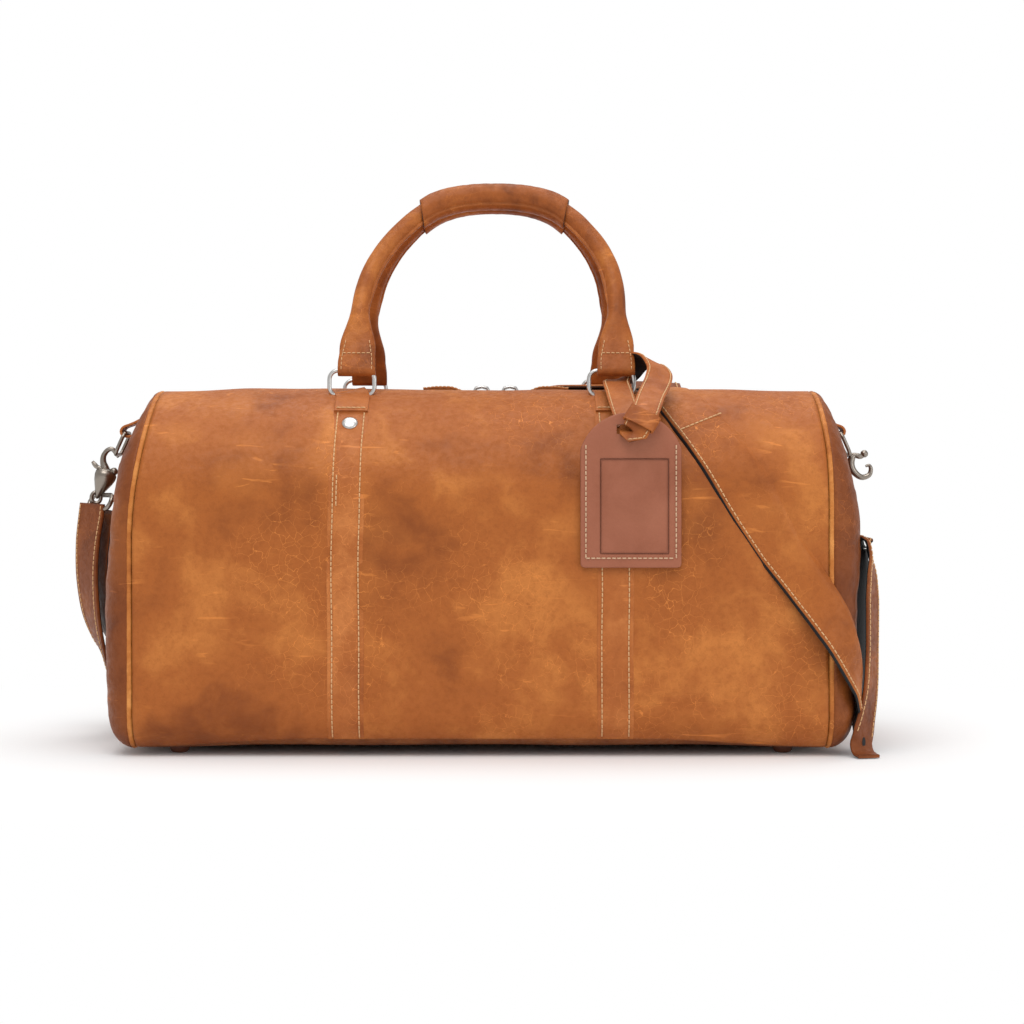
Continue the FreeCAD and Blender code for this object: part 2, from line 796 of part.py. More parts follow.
def tag_strap():
    """Through the tag's slot, up beside the handle, back through the ring and down over the keeper."""
    z = tag_low + tag_height - tag_slot_drop
    over = strap_thickness + keeper_thickness + 1.2
    steep = on_top_edge(40, over)
    easy = on_top_edge(31, over)
    stations = [
        ((tag_x, tag_back_y + 2, z - 1), (0, 0, 1)),
        ((tag_x, tag_front_y - tag_leather - 2.2, z - 1), (0, 0.3, 1)),
        ((tag_x + 0.5, tag_front_y - tag_leather - 4.4, z + 2.5), (0, 1, 0.6)),
        ((tag_x + 3, tag_front_y - tag_leather - 3.4, z + 15), (0, 1, -0.1)),
        ((tag_x + 16, bar_y - 34, bar_z + 2), (0, 1, -0.6)),
        ((tag_x + 24, bar_y - 20, bar_z + 16), (0, 1, -0.7)),
        ((tag_x + 28, bar_y - 6, bar_z + 27), (0, 0.8, -1)),
        ((tag_x + 29, bar_y + 3, bar_z + 29), (0, 0, -1)),
        ((tag_x + 28, bar_y + 12, bar_z + 25), (0, -1, -0.6)),
        ((tag_x + 20, bar_y + 15, bar_z + 18), (0, -1, -0.4)),
        ((tag_x + 6, bar_y + 12, bar_z + 12), (0, -0.3, -1)),
        ((tag_x - 2, bar_y + 4, bar_z + 8.4), (0, 0, -1)),
        ((tag_x - 2, bar_y - 4, bar_z + 6.2), (0, 0.2, -1)),
        ((tag_x - 2, easy[0], easy[1] + tag_strap_thickness), (0, 0.5, -1)),
        ((tag_x - 1, steep[0] - 1, steep[1] + tag_strap_thickness), (0, 0.8, -1)),
        ((tag_x, tag_back_y + 14, z + 11), (0, 0.8, -1)),
        ((tag_x, tag_back_y + 5, z + 3.5), (0, 0.8, -1)),
    ]
    return ribbon(stations, tag_strap_width, tag_strap_thickness)


def build():
    os.makedirs("parts", exist_ok=True)
    front = front_panel()
    save("front_panel", front)
    save("rear_panel", mirror_y(front))
    save("bottom_panel", bottom_panel())
    end = end_panel()
    save("right_end_panel", end)
    save("left_end_panel", left(end))
    cord = piping()
    save("right_piping", cord)
    save("left_piping", left(cord))
    save("lining", lining())
    save("base_board", base_board())
    save("feet", feet())
    save("foot_washers", foot_washers())
    save("front_zipper_tape", zipper_tape())
    save("rear_zipper_tape", mirror_y(zipper_tape()))
    save("front_zipper_coil", zipper_coil())
    save("rear_zipper_coil", mirror_y(zipper_coil()))
    save("zipper_stops", zipper_stops())
    save("zipper_end_tabs", zipper_end_tabs())
    for side in ("left", "right"):
        save(f"{side}_slider", slider(side))
        save(f"{side}_pull_link", pull_link(side))
        save(f"{side}_pull_tab", pull_tab(side))
    for side, sx in (("left", -1), ("right", 1)):
        for face, turn in (("front", lambda s: s), ("rear", mirror_y)):
            save(f"{face}_{side}_strap", turn(moved(handle_strap(), sx * strap_x)))
            save(f"{face}_{side}_keeper", turn(moved(keeper(), sx * strap_x)))
            save(f"{face}_{side}_ring", turn(moved(handle_ring(), sx * strap_x)))
    save("strap_rivets", rivets())
    save("rivet_washers", rivet_washers())
    for face, turn in (("front", lambda s: s), ("rear", mirror_y)):
        save(f"{face}_handle_cover", turn(handle_cover()))
        save(f"{face}_handle_core", turn(handle_core()))
        save(f"{face}_grip", turn(handle_grip()))
    save("right_end_tab", end_tab())
    save("left_end_tab", left(end_tab()))
    save("right_d_ring", end_ring())
    save("left_d_ring", left(end_ring()))
    save("right_hook", hook_body())
    save("left_hook", left(hook_body()))
    save("left_trigger", left(hook_trigger()))
    save("strap_ring", strap_ring())
    save("shoulder_strap_front", sling_front())
    save("shoulder_strap_rear", sling_rear())
    save("shoulder_strap_rise", sling_right_rise())
    save("shoulder_strap_end", sling_right_fall())
    save("shoulder_strap_left", sling_left())
    save("tag_back", tag_plate(tag_back_y, tag_leather, 0))
    save("tag_card", tag_plate(tag_back_y - tag_leather - tag_gap / 2, tag_card_thickness, 4))
    save("tag_front", tag_plate(tag_front_y, tag_leather, 0))
    save("tag_strap", tag_strap())


build()
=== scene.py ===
"""Looks of the leather weekender bag: sewn leather, stitches, zipper, handles, straps, tag and hardware.

Lengths below are in millimetres; build_mesh turns them into metres. +X right, front -Y, +Z up.
"""
import math
import bpy
from mathutils import Matrix, Vector, noise


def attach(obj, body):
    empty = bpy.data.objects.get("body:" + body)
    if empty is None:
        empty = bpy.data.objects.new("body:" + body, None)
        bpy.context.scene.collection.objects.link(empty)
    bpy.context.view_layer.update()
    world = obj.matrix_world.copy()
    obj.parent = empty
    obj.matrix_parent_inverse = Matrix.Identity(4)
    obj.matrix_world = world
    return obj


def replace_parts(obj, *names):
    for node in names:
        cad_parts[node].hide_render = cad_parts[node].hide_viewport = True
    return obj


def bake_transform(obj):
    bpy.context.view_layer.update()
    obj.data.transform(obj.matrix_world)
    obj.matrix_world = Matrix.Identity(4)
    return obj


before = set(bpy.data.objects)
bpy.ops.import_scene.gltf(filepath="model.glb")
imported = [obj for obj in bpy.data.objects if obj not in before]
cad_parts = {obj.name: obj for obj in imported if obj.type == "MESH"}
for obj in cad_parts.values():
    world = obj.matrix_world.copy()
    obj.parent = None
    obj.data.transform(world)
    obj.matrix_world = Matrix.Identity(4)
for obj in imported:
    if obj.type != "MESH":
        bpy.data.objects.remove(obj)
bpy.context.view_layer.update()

MM = 0.001
ACROSS = Vector((0, 1, 0))
SEAM_HALF = 245.0
PANEL_HALF = 242.5
END_START = 247.5
END_BULGE = 20.0
END_WALL = END_START + END_BULGE
HALF_DEPTH = 120.0
TOP = 258.0
LOW = 8.0
R_TOP = 85.0
R_LOW = 25.0
FLAT = HALF_DEPTH - R_TOP
ARC_Z = TOP - R_TOP
ARC = R_TOP * math.pi / 2
SIDE = ARC_Z - LOW - R_LOW
LOW_ARC = R_LOW * math.pi / 2
HALF_ROUND = FLAT + ARC + SIDE + LOW_ARC + HALF_DEPTH - R_LOW
STRAP_X = 94.0
ZIP_GAP = 12.0


# ---------------------------------------------------------------- shape of the soft body

def smooth_step(a, b, v):
    """0 at a, 1 at b, with a soft start and end."""
    t = min(max((v - a) / (b - a), 0.0), 1.0)
    return t * t * (3 - 2 * t)


def hump(v, middle, half):
    """1 in the middle, falling softly to 0 at half's distance."""
    return max(0.0, 1.0 - ((v - middle) / half) ** 2) ** 2


def profile(s):
    """Y, Z and the outward direction s mm round from the top's middle; positive s is the front."""
    side = -1 if s > 0 else 1
    run = abs(s)
    if run <= FLAT:
        return side * run, TOP, 0.0, 1.0
    run -= FLAT
    if run <= ARC:
        a = run / R_TOP
        out_y, out_z = side * math.sin(a), math.cos(a)
        return side * FLAT + R_TOP * out_y, ARC_Z + R_TOP * out_z, out_y, out_z
    run -= ARC
    if run <= SIDE:
        return side * HALF_DEPTH, ARC_Z - run, side, 0.0
    run -= SIDE
    if run <= LOW_ARC:
        a = run / R_LOW
        out_y, out_z = side * math.cos(a), -math.sin(a)
        return side * (HALF_DEPTH - R_LOW) + R_LOW * out_y, LOW + R_LOW + R_LOW * out_z, out_y, out_z
    run -= LOW_ARC
    return side * (HALF_DEPTH - R_LOW - run), LOW, 0.0, -1.0


def edge_fade(x):
    """1 over the middle of the bag, falling to 0 at its end seams."""
    return 1.0 - smooth_step(175, 243, abs(x))


def top_lift(x, s):
    """The rear leather beside the zipper stands up on the right, and the front edge dips."""
    lift = 6.5 * smooth_step(22, 60, x) * (1 - smooth_step(128, 176, x))
    lift *= smooth_step(12, -12, s) if s > -12 else 1 - smooth_step(12, 80, -s)
    dip = 1.6 * smooth_step(40, 90, x) * (1 - smooth_step(190, 240, x)) * hump(s, 14, 45)
    return lift - dip


def swell(x, s):
    """How far the leather stands out from the plain shape."""
    run = abs(s)
    face = smooth_step(60, 150, run) * (1 - smooth_step(270, 325, run))
    top = 1 - smooth_step(60, 130, run)
    side = 1.0 if s > 0 else -1.0
    p = Vector((x / 120, s / 120, side * 3))
    soft = noise.noise(p) * 2.6 + noise.noise(p * 3.1) * 0.9 + noise.noise(p * 7.3) * 0.22
    flat_top = 1 - 0.8 * hump(x, 10, 120)
    puff = 3.2 * face * math.cos(x / 245 * math.pi / 2) + 2.2 * top * edge_fade(x) * flat_top
    low = 1 - smooth_step(290, 330, run)
    return (puff + soft * (0.35 + 0.65 * face)) * (0.25 + 0.75 * edge_fade(x)) * low + top_lift(x, s)


def level_at(line, v):
    """Value at v of a line given as (v, value) points."""
    for (a, p), (b, q) in zip(line, line[1:]):
        if a <= v <= b:
            return p + (q - p) * (v - a) / (b - a)
    return line[0][1] if v < line[0][0] else line[-1][1]


# How much further each end bulges at some heights: 1 is the right end, -1 the left one.
END_SHAPE = {
    1: [(112, 0), (136, 3.6), (150, 4.4), (166, 6.8), (182, 7.6), (195, 7.0), (208, 5.0), (228, 4.0),
        (240, 1.4), (248, 0)],
    -1: [(145, 1.0), (165, 0.8), (178, 1.6), (191, 4.6), (204, 7.0), (222, 6.6), (240, 4.2), (252, 0)],
}


def settle(x, y, z):
    """The whole soft body narrows towards the top at the left and sags at its lower corners."""
    share = min(abs(x) / SEAM_HALF, 1.15)
    if x < 0:
        x += 9.5 * smooth_step(150, 262, z) * share ** 2
    else:
        x -= 2.5 * smooth_step(200, 262, z) * share ** 2
    z -= 1.8 * smooth_step(0.6, 1.0, share) * (1 - smooth_step(20, 120, z))
    return Vector((x, y, z))


def body_point(x, s, out=0.0):
    """Place on the leather's outer face, or out mm above it."""
    y, z, ny, nz = profile(s)
    d = swell(x, s) + out
    return settle(x, y + ny * d, z + nz * d)


def body_face(x, s):
    """Outward direction of the leather, from four places 2 mm around."""
    e = 2.0
    a = body_point(x + e, s) - body_point(x - e, s)
    b = body_point(x, s + e) - body_point(x, s - e)
    n = b.cross(a).normalized()
    _, _, ny, nz = profile(s)
    return n if n.y * ny + n.z * nz > 0 else -n


# ---------------------------------------------------------------- mesh building

def build_mesh(name, verts, faces, material, body, slot=None, extra=()):
    """Smooth shaded object from places in mm, riding on its body; extra holds further materials."""
    mesh = bpy.data.meshes.new(name)
    mesh.from_pydata([(v[0] * MM, v[1] * MM, v[2] * MM) for v in verts], [], faces)
    mesh.update()
    mesh.polygons.foreach_set("use_smooth", [True] * len(mesh.polygons))
    obj = bpy.data.objects.new(name, mesh)
    bpy.context.scene.collection.objects.link(obj)
    for m in (material, *extra):
        obj.data.materials.append(m)
    if body is not None:
        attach(obj, body)
    return obj


def thicken(obj, depth, rim_material=None):
    """Gives a sheet its leather thickness, inwards."""
    mod = obj.modifiers.new("thickness", "SOLIDIFY")
    mod.thickness = depth * MM
    mod.offset = -1.0
    if rim_material is not None:
        mod.material_offset_rim = rim_material
    return obj


def grid_faces(rows, cols, closed_cols=False, closed_rows=False):
    """Four-sided faces over rows of cols points each."""
    faces = []
    for r in range(rows if closed_rows else rows - 1):
        here, above = r * cols, (r + 1) % rows * cols
        for c in range(cols if closed_cols else cols - 1):
            beside = (c + 1) % cols
            faces.append((here + c, here + beside, above + beside, above + c))
    return faces


def rod_faces(rows, cols, turned=False):
    """Faces of a rod of rows rings with both ends closed; turned swaps the side that its ends show."""
    first = tuple(range(cols))
    last = tuple((rows - 1) * cols + k for k in first)
    ends = [first[::-1], last] if turned else [first, last[::-1]]
    return grid_faces(rows, cols, True) + ends


def facing(faces, turned):
    """The same faces, seen from their other side if turned."""
    return [f[::-1] for f in faces] if turned else faces


class Parts:
    """Gathers many small closed forms into one mesh."""

    def __init__(self):
        self.verts = []
        self.faces = []

    def add(self, verts, faces):
        base = len(self.verts)
        self.verts += [Vector(v) for v in verts]
        self.faces += [tuple(base + i for i in f) for f in faces]

    def build(self, name, material, body, slot=None):
        return build_mesh(name, self.verts, self.faces, material, body, slot)


def frames(points, closed=False, up=Vector((0, 0, 1))):
    """Directions along a path, and two across it that turn smoothly."""
    n = len(points)
    tangents = []
    for i in range(n):
        a = points[(i - 1) % n] if closed or i else points[i]
        b = points[(i + 1) % n] if closed or i < n - 1 else points[i]
        tangents.append((b - a).normalized())
    u = up - tangents[0] * up.dot(tangents[0])
    if u.length < 0.01:
        u = Vector((1, 0, 0)) - tangents[0] * tangents[0].x
    u.normalize()
    result = []
    for t in tangents:
        u = (u - t * u.dot(t)).normalized()
        result.append((t, u, t.cross(u)))
    return result


def circle(count):
    """The angles of count places round a circle."""
    return [2 * math.pi * k / count for k in range(count)]


def tube_mesh(points, radius, closed=False, sides=12, up=Vector((0, 0, 1))):
    """Round rod along points; radius is one value, or one for each point."""
    points = [Vector(p) for p in points]
    verts = []
    for i, (p, (_, u, v)) in enumerate(zip(points, frames(points, closed, up))):
        r = radius[i] if isinstance(radius, list) else radius
        verts += [p + u * (r * math.cos(a)) + v * (r * math.sin(a)) for a in circle(sides)]
    faces = grid_faces(len(points), sides, True, True) if closed else rod_faces(len(points), sides)
    return verts, faces


def lathe(points, axis_place, axis, sides=20):
    """Turned form: points are (distance from the axis, height along it)."""
    axis = Vector(axis).normalized()
    u = axis.orthogonal().normalized()
    v = axis.cross(u)
    base = Vector(axis_place)
    verts = []
    for r, h in points:
        verts += [base + axis * h + (u * math.cos(a) + v * math.sin(a)) * max(r, 0.01) for a in circle(sides)]
    return verts, rod_faces(len(points), sides, True)


def resample(stations, step):
    """Smooth run of (place, face) through the given ones, about step mm apart."""
    places = [Vector(p) for p, _ in stations]
    looks = [Vector(f).normalized() for _, f in stations]
    out = []
    n = len(places)
    for i in range(n - 1):
        p0 = places[max(i - 1, 0)]
        p1, p2 = places[i], places[i + 1]
        p3 = places[min(i + 2, n - 1)]
        count = max(1, round((p2 - p1).length / step))
        for k in range(count):
            t = k / count
            a = 2 * p1
            b = p2 - p0
            c = 2 * p0 - 5 * p1 + 4 * p2 - p3
            d = -p0 + 3 * p1 - 3 * p2 + p3
            place = (a + b * t + c * t * t + d * t ** 3) * 0.5
            look = looks[i].lerp(looks[i + 1], t)
            out.append((place, look))
    out.append((places[-1], looks[-1]))
    return out


def station_frames(stations):
    """(place, along, across, outward) for each station of a strap."""
    result = []
    for i, (place, look) in enumerate(stations):
        along = stations[min(i + 1, len(stations) - 1)][0] - stations[max(i - 1, 0)][0]
        along.normalize()
        across = look.cross(along).normalized()
        out = along.cross(across).normalized()
        result.append((place, along, across, out if out.dot(look) >= 0 else -out))
    return result


# Places across a strap's section, from one edge to the other.
SHARES = [-1, -0.985, -0.93, -0.8, -0.73, -0.66, -0.4, 0, 0.4, 0.66, 0.73, 0.8, 0.93, 0.985, 1]


def ribbon(name, stations, width, thick, materials, body, slot, out=0.0, crown=0.25, groove=None, thin_side=0,
           foot=0.0):
    """Leather strap: brown upper face, materials[1] on the under face, rounded cut edges.

    thin_side is -1 or 1: the side opposite to it sinks into the leather and narrows along the run.
    foot widens the under face, so that a dark band shows beside the strap: painted shadow along its edges.
    """
    rows = station_frames(stations)
    verts = []
    for i, (place, _, across, look) in enumerate(rows):
        run = i / (len(rows) - 1)
        half = (width(run) if callable(width) else width) / 2
        narrow = 1 - 0.5 * smooth_step(0.45, 0.72, run)
        for q in SHARES:
            lift = thick + crown * (1 - q * q) if abs(q) < 1 else thick * 0.72
            if groove and abs(abs(q) - groove) < 0.02:
                lift -= 0.3
            if q * thin_side < -0.5:
                lift -= (thick + 1.0) * smooth_step(0.55, 1.0, abs(q))
            reach = narrow if q * thin_side < 0 else 1.0
            verts.append(place + across * (q * half * reach) + look * (lift + out))
        for q in reversed(SHARES):
            lift = 0.0 if abs(q) < 1 else thick * 0.25
            reach = narrow if q * thin_side < 0 else 1.0
            # On the standing side the black under face reaches past the upper one, and its cut face is black
            # too: the strap's backing, which also paints the shadow under the raised edge.
            if q * thin_side == 1:
                reach = 1.09
            if q * thin_side < -0.4:
                lift -= (thick + 1.4) * smooth_step(0.4, 0.9, abs(q))
            verts.append(place + across * (q * (half * reach + foot)) + look * (lift + out))
    count = 2 * len(SHARES)
    obj = build_mesh(name, verts, rod_faces(len(rows), count), materials[0], body, slot, extra=materials[1:])
    if len(materials) > 1:
        right_cut, left_cut = len(SHARES) - 1, count - 1
        # With a widened under face both cut faces take the dark material: painted shadow along a sewn strap's
        # edges.
        dark_cuts = (right_cut, left_cut) if foot else {1: (right_cut,), -1: (left_cut,), 0: ()}[thin_side]
        for poly in obj.data.polygons[:(len(rows) - 1) * count]:
            k = poly.index % count
            if right_cut < k < left_cut or k in dark_cuts:
                poly.material_index = 1
    return obj


def stitch(parts, a, b, normal, radius=0.5):
    """One thread stitch from a to b, sunk at both ends."""
    a, b, normal = Vector(a), Vector(b), Vector(normal)
    points = [a - normal * 0.35 + (b - a) * 0.05, a + normal * 0.25, (a + b) / 2 + normal * 0.38,
              b + normal * 0.25, b - normal * 0.35 - (b - a) * 0.05]
    parts.add(*tube_mesh(points, [radius * 0.6, radius, radius, radius, radius * 0.6], sides=6, up=normal))


def stitch_line(parts, places, pitch=3.6, length=2.6, radius=0.5):
    """Stitches along places, a list of (place, normal)."""
    if len(places) < 2:
        return
    dist = [0.0]
    for (p, _), (q, _) in zip(places, places[1:]):
        dist.append(dist[-1] + (q - p).length)

    def at(d):
        lo = 0
        hi = len(dist) - 1
        while hi - lo > 1:
            mid = (lo + hi) // 2
            if dist[mid] <= d:
                lo = mid
            else:
                hi = mid
        t = (d - dist[lo]) / max(dist[hi] - dist[lo], 1e-6)
        return places[lo][0].lerp(places[hi][0], t), places[lo][1].lerp(places[hi][1], t).normalized()

    d = 0.0
    while d + length < dist[-1]:
        (a, n), (b, _) = at(d), at(d + length)
        stitch(parts, a, b, n, radius)
        d += pitch


def ribbon_stitches(parts, stations, offset, height, start=0.0, stop=1.0, pitch=3.8, length=2.8, radius=0.5):
    """A row of stitches beside a strap's middle line, over the part of its run from start to stop."""
    rows = station_frames(stations)
    last = len(rows) - 1
    part = rows[int(start * last):int(stop * last) + 1]
    places = [(p + across * offset + look * (height - 0.12), look) for p, _, across, look in part]
    stitch_line(parts, places, pitch, length, radius)


# ---------------------------------------------------------------- materials

def lin(r, g, b):
    """Blender's linear colour for red, green and blue from 0 to 255."""
    def one(c):
        c /= 255
        return c / 12.92 if c <= 0.04045 else ((c + 0.055) / 1.055) ** 2.4
    return (one(r), one(g), one(b), 1.0)


class Shade:
    """A material under construction."""

    def __init__(self, name):
        self.material = bpy.data.materials.new(name)
        self.material.use_nodes = True
        self.tree = self.material.node_tree
        self.bsdf = self.tree.nodes["Principled BSDF"]
        self.place = self.tree.nodes.new("ShaderNodeTexCoord").outputs["Object"]

    def link(self, a, b):
        self.tree.links.new(a, b)

    def node(self, kind, vector=None, **values):
        """New node with its inputs set, fed with a place if it takes one."""
        node = self.tree.nodes.new("ShaderNode" + kind)
        for key, value in values.items():
            node.inputs[key.replace("_", " ")].default_value = value
        if vector:
            self.link(vector, node.inputs["Vector"])
        return node

    def scaled(self, sx, sy, sz, turn=(0, 0, 0)):
        return self.node("Mapping", self.place, Scale=(sx, sy, sz), Rotation=turn).outputs["Vector"]

    def noise(self, scale, detail=3.0, rough=0.55, distortion=0.0, vector=None):
        node = self.node("TexNoise", vector or self.place, Scale=scale, Detail=detail, Roughness=rough,
                         Distortion=distortion)
        return node.outputs["Fac"]

    def cells(self, scale, feature="F1", vector=None):
        node = self.node("TexVoronoi", vector or self.place, Scale=scale, Randomness=1.0)
        node.feature = feature
        return node.outputs["Distance"]

    def warp(self, amount, scale):
        """Place shifted by noise, so that lines wander."""
        node = self.node("TexNoise", self.place, Scale=scale, Detail=3.0)
        move = self.tree.nodes.new("ShaderNodeVectorMath")
        move.operation = "MULTIPLY_ADD"
        self.link(node.outputs["Color"], move.inputs[0])
        move.inputs[1].default_value = (amount, amount, amount)
        self.link(self.place, move.inputs[2])
        return move.outputs["Vector"]

    def ramp(self, fac, stops):
        node = self.tree.nodes.new("ShaderNodeValToRGB")
        node.color_ramp.interpolation = "EASE"
        while len(node.color_ramp.elements) < len(stops):
            node.color_ramp.elements.new(0.5)
        for element, (pos, color) in zip(node.color_ramp.elements, stops):
            element.position = pos
            element.color = color if len(color) == 4 else (*color, 1.0)
        self.link(fac, node.inputs["Fac"])
        return node.outputs["Color"]

    def grey(self, fac, stops):
        return self.ramp(fac, [(pos, (v, v, v, 1.0)) for pos, v in stops])

    def mix(self, fac, a, b):
        node = self.tree.nodes.new("ShaderNodeMix")
        node.data_type = "RGBA"
        self.link(fac, node.inputs["Factor"])
        for key, value in (("A", a), ("B", b)):
            socket = [i for i in node.inputs if i.name == key and i.type == "RGBA"][0]
            if isinstance(value, tuple):
                socket.default_value = value
            else:
                self.link(value, socket)
        return [o for o in node.outputs if o.type == "RGBA"][0]

    def math(self, kind, a, b):
        node = self.tree.nodes.new("ShaderNodeMath")
        node.operation = kind
        for k, value in enumerate((a, b)):
            if isinstance(value, float):
                node.inputs[k].default_value = value
            else:
                self.link(value, node.inputs[k])
        return node.outputs[0]

    def bump(self, layers):
        """layers: (height, strength, distance in metres)."""
        last = None
        for height, strength, distance in layers:
            node = self.node("Bump", Strength=strength, Distance=distance)
            self.link(height, node.inputs["Height"])
            if last:
                self.link(last, node.inputs["Normal"])
            last = node.outputs["Normal"]
        self.link(last, self.bsdf.inputs["Normal"])

    def set(self, **values):
        for key, value in values.items():
            socket = self.bsdf.inputs[key.replace("_", " ")]
            if isinstance(value, (float, int, tuple)):
                socket.default_value = value
            else:
                self.link(value, socket)
        return self.material


def leather(name, dark, mid, light, cloud=8.0, grain=520.0, grain_depth=0.00022, scratches=0.7, flecks=0.24):
    """Waxed pull-up leather: cloudy colour, fine grain, pale creases and scratches."""
    m = Shade(name)
    big = m.noise(cloud, 3.0, 0.5, 0.6)
    small = m.noise(cloud * 4.3, 4.0, 0.6, 0.4)
    fac = m.math("ADD", m.math("MULTIPLY", big, 0.66), m.math("MULTIPLY", small, 0.34))
    colour = m.ramp(fac, [(0.33, dark), (0.5, mid), (0.67, light)])
    mottle = m.noise(230.0, 3.0, 0.6)
    colour = m.mix(m.grey(mottle, [(0.42, 0.0), (0.72, flecks)]), colour, dark)
    dust = m.noise(900.0, 2.0, 0.7)
    colour = m.mix(m.grey(dust, [(0.5, 0.0), (0.75, flecks)]), colour, dark)
    warm = m.noise(cloud * 2.1, 2.0, 0.5)
    colour = m.mix(m.grey(warm, [(0.5, 0.0), (0.75, 0.4)]), colour, light)
    crack = m.cells(135.0, "DISTANCE_TO_EDGE", m.warp(0.016, 60.0))
    line = m.grey(crack, [(0.0, 1.0), (0.02, 0.0)])
    where = m.grey(m.noise(13.0, 4.0, 0.6), [(0.46, 0.0), (0.62, scratches)])
    creases = m.math("MULTIPLY", line, where)
    slant = m.scaled(36.0, 36.0, 260.0, (0.5, 0.7, 0.3))
    streak = m.noise(1.0, 2.0, 0.5, 0.8, slant)
    marks = m.math("MULTIPLY", m.grey(streak, [(0.62, 0.0), (0.7, scratches * 0.7)]),
                   m.grey(m.noise(17.0, 2.0), [(0.5, 0.0), (0.66, 1.0)]))
    pale = tuple(min(1.0, c * 1.4) for c in light[:3]) + (1.0,)
    colour = m.mix(creases, colour, pale)
    colour = m.mix(marks, colour, pale)
    cells = m.cells(grain, "F1")
    folds = m.noise(70.0, 4.0, 0.6, 0.5)
    m.bump([(folds, 0.35, 0.0016), (cells, 0.55, grain_depth), (creases, 0.25, 0.0005)])
    rough = m.grey(mottle, [(0.3, 0.42), (0.7, 0.62)])
    return m.set(Base_Color=colour, Roughness=rough, Specular_IOR_Level=0.24)


def plain(name, colour, rough=0.5, metallic=0.0, spec=0.5, bump=None):
    """Even colour; bump is the scale and the depth of its unevenness."""
    m = Shade(name)
    if bump:
        m.bump([(m.noise(bump[0], 2.0), 0.5, bump[1])])
    return m.set(Base_Color=colour, Roughness=rough, Metallic=metallic, Specular_IOR_Level=spec)


def woven(name, colour, shine, threads):
    """Cloth or zipper tape: fine crossing ribs."""
    m = Shade(name)
    a = m.noise(1.0, 1.0, 0.5, 0.0, m.scaled(threads, threads * 0.25, threads * 0.25))
    b = m.noise(1.0, 1.0, 0.5, 0.0, m.scaled(threads * 0.25, threads, threads))
    both = m.math("MULTIPLY", a, b)
    darker = tuple(c * 0.6 for c in colour[:3]) + (1.0,)
    m.bump([(both, 0.6, 0.0003)])
    return m.set(Base_Color=m.ramp(both, [(0.1, darker), (0.5, colour)]), Roughness=0.8, Sheen_Weight=shine)


DARK = lin(130, 66, 24)
MID = lin(168, 93, 38)
LIGHT = lin(198, 121, 56)
body_mat = leather("leather_body", DARK, MID, LIGHT)
# The bag's ends get a darker copy of the body leather: painted shade on the ends.
shaded_end_mat = leather("leather_ends_painted_shade", lin(98, 46, 16), lin(128, 66, 26), lin(158, 88, 38))
strap_mat = leather("leather_straps", lin(142, 74, 32), lin(172, 97, 44), lin(196, 120, 62), cloud=14.0)
# The shoulder strap away from the front gets a darker copy of its leather, close to the ends' colour: painted
# shade. Over the front it uses the body leather.
shaded_sling_mat = leather("leather_sling_painted_shade", lin(98, 47, 18), lin(128, 67, 29), lin(156, 88, 42), cloud=16.0)
trim_mat = leather("leather_trim", lin(124, 64, 26), lin(156, 86, 38), lin(184, 108, 52), cloud=20.0)
handle_mat = leather("leather_handles", lin(118, 60, 24), lin(156, 84, 34), lin(188, 112, 50), cloud=17.0)
piping_mat = leather("leather_piping", lin(158, 86, 34), lin(190, 114, 50), lin(218, 146, 76), cloud=30.0)
base_mat = leather("leather_base", lin(108, 58, 28), lin(134, 76, 38), lin(158, 94, 50), cloud=22.0,
                   grain=330.0, grain_depth=0.0006, scratches=0.1)
tag_mat = leather("leather_tag", lin(146, 86, 62), lin(158, 96, 72), lin(168, 106, 80), cloud=9.0,
                  scratches=0.05, flecks=0.12)
window_mat = leather("leather_tag_window", lin(96, 52, 36), lin(106, 60, 42), lin(116, 66, 48), cloud=9.0,
                     scratches=0.03, flecks=0.1)
# Dark cut edges of the leather; on the handle straps the same colour also paints the shadow along their
# edges.
edge_and_shadow_mat = plain("leather_edge_and_shadow", lin(92, 50, 26), 0.7)
thread_mat = plain("thread", lin(214, 170, 122), 0.75)
tag_thread_mat = plain("thread_tag", lin(206, 170, 138), 0.75)
lining_mat = woven("lining_cloth", lin(34, 32, 33), 0.3, 2600.0)
backing_mat = plain("strap_backing", lin(26, 24, 25), 0.75, bump=(900.0, 0.0003))
tape_mat = woven("zipper_tape", lin(28, 26, 27), 0.2, 1800.0)
coil_mat = plain("zipper_teeth", lin(52, 48, 46), 0.35)
nickel_mat = plain("nickel", lin(205, 203, 200), 0.3, 1.0, 0.5, (140.0, 0.00005))
antique_mat = plain("antique_nickel", lin(150, 140, 130), 0.3, 1.0, 0.5, (220.0, 0.0002))
foot_mat = plain("foot_leather", lin(96, 48, 24), 0.5, bump=(400.0, 0.0003))
card_mat = plain("tag_card", lin(214, 206, 190), 0.8)
board_mat = plain("base_board", lin(120, 104, 84), 0.85, bump=(300.0, 0.0003))


# ---------------------------------------------------------------- leather body

def seam_end(x):
    """s of the front bottom seam: arched in the middle, lower towards the ends."""
    return 330.5 + 8.5 * smooth_step(110, 235, abs(x))


def spread(a, b, n):
    """n values from a to b, evenly apart."""
    return [a + (b - a) * i / (n - 1) for i in range(n)]


def body_panel(name, sign):
    """Front or rear leather from beside the zipper, its edge curled in, down to the bottom seam."""
    xs = spread(-PANEL_HALF, PANEL_HALF, 190)
    rows = 150
    verts = []
    for t in spread(0, 1, rows):
        for x in xs:
            run = (seam_end(x) - ZIP_GAP) * t
            verts.append(body_point(x, sign * (ZIP_GAP + run), -0.9 * math.exp(-run / 1.4)))
    faces = facing(grid_faces(rows, len(xs)), sign < 0)
    obj = build_mesh(name, verts, faces, body_mat, "bag", "body_leather", extra=(edge_and_shadow_mat,))
    thicken(obj, 2.0, 1)
    return obj


front_panel = body_panel("front_leather", 1)
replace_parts(front_panel, "front_panel")
rear_panel = body_panel("rear_leather", -1)
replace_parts(rear_panel, "rear_panel")


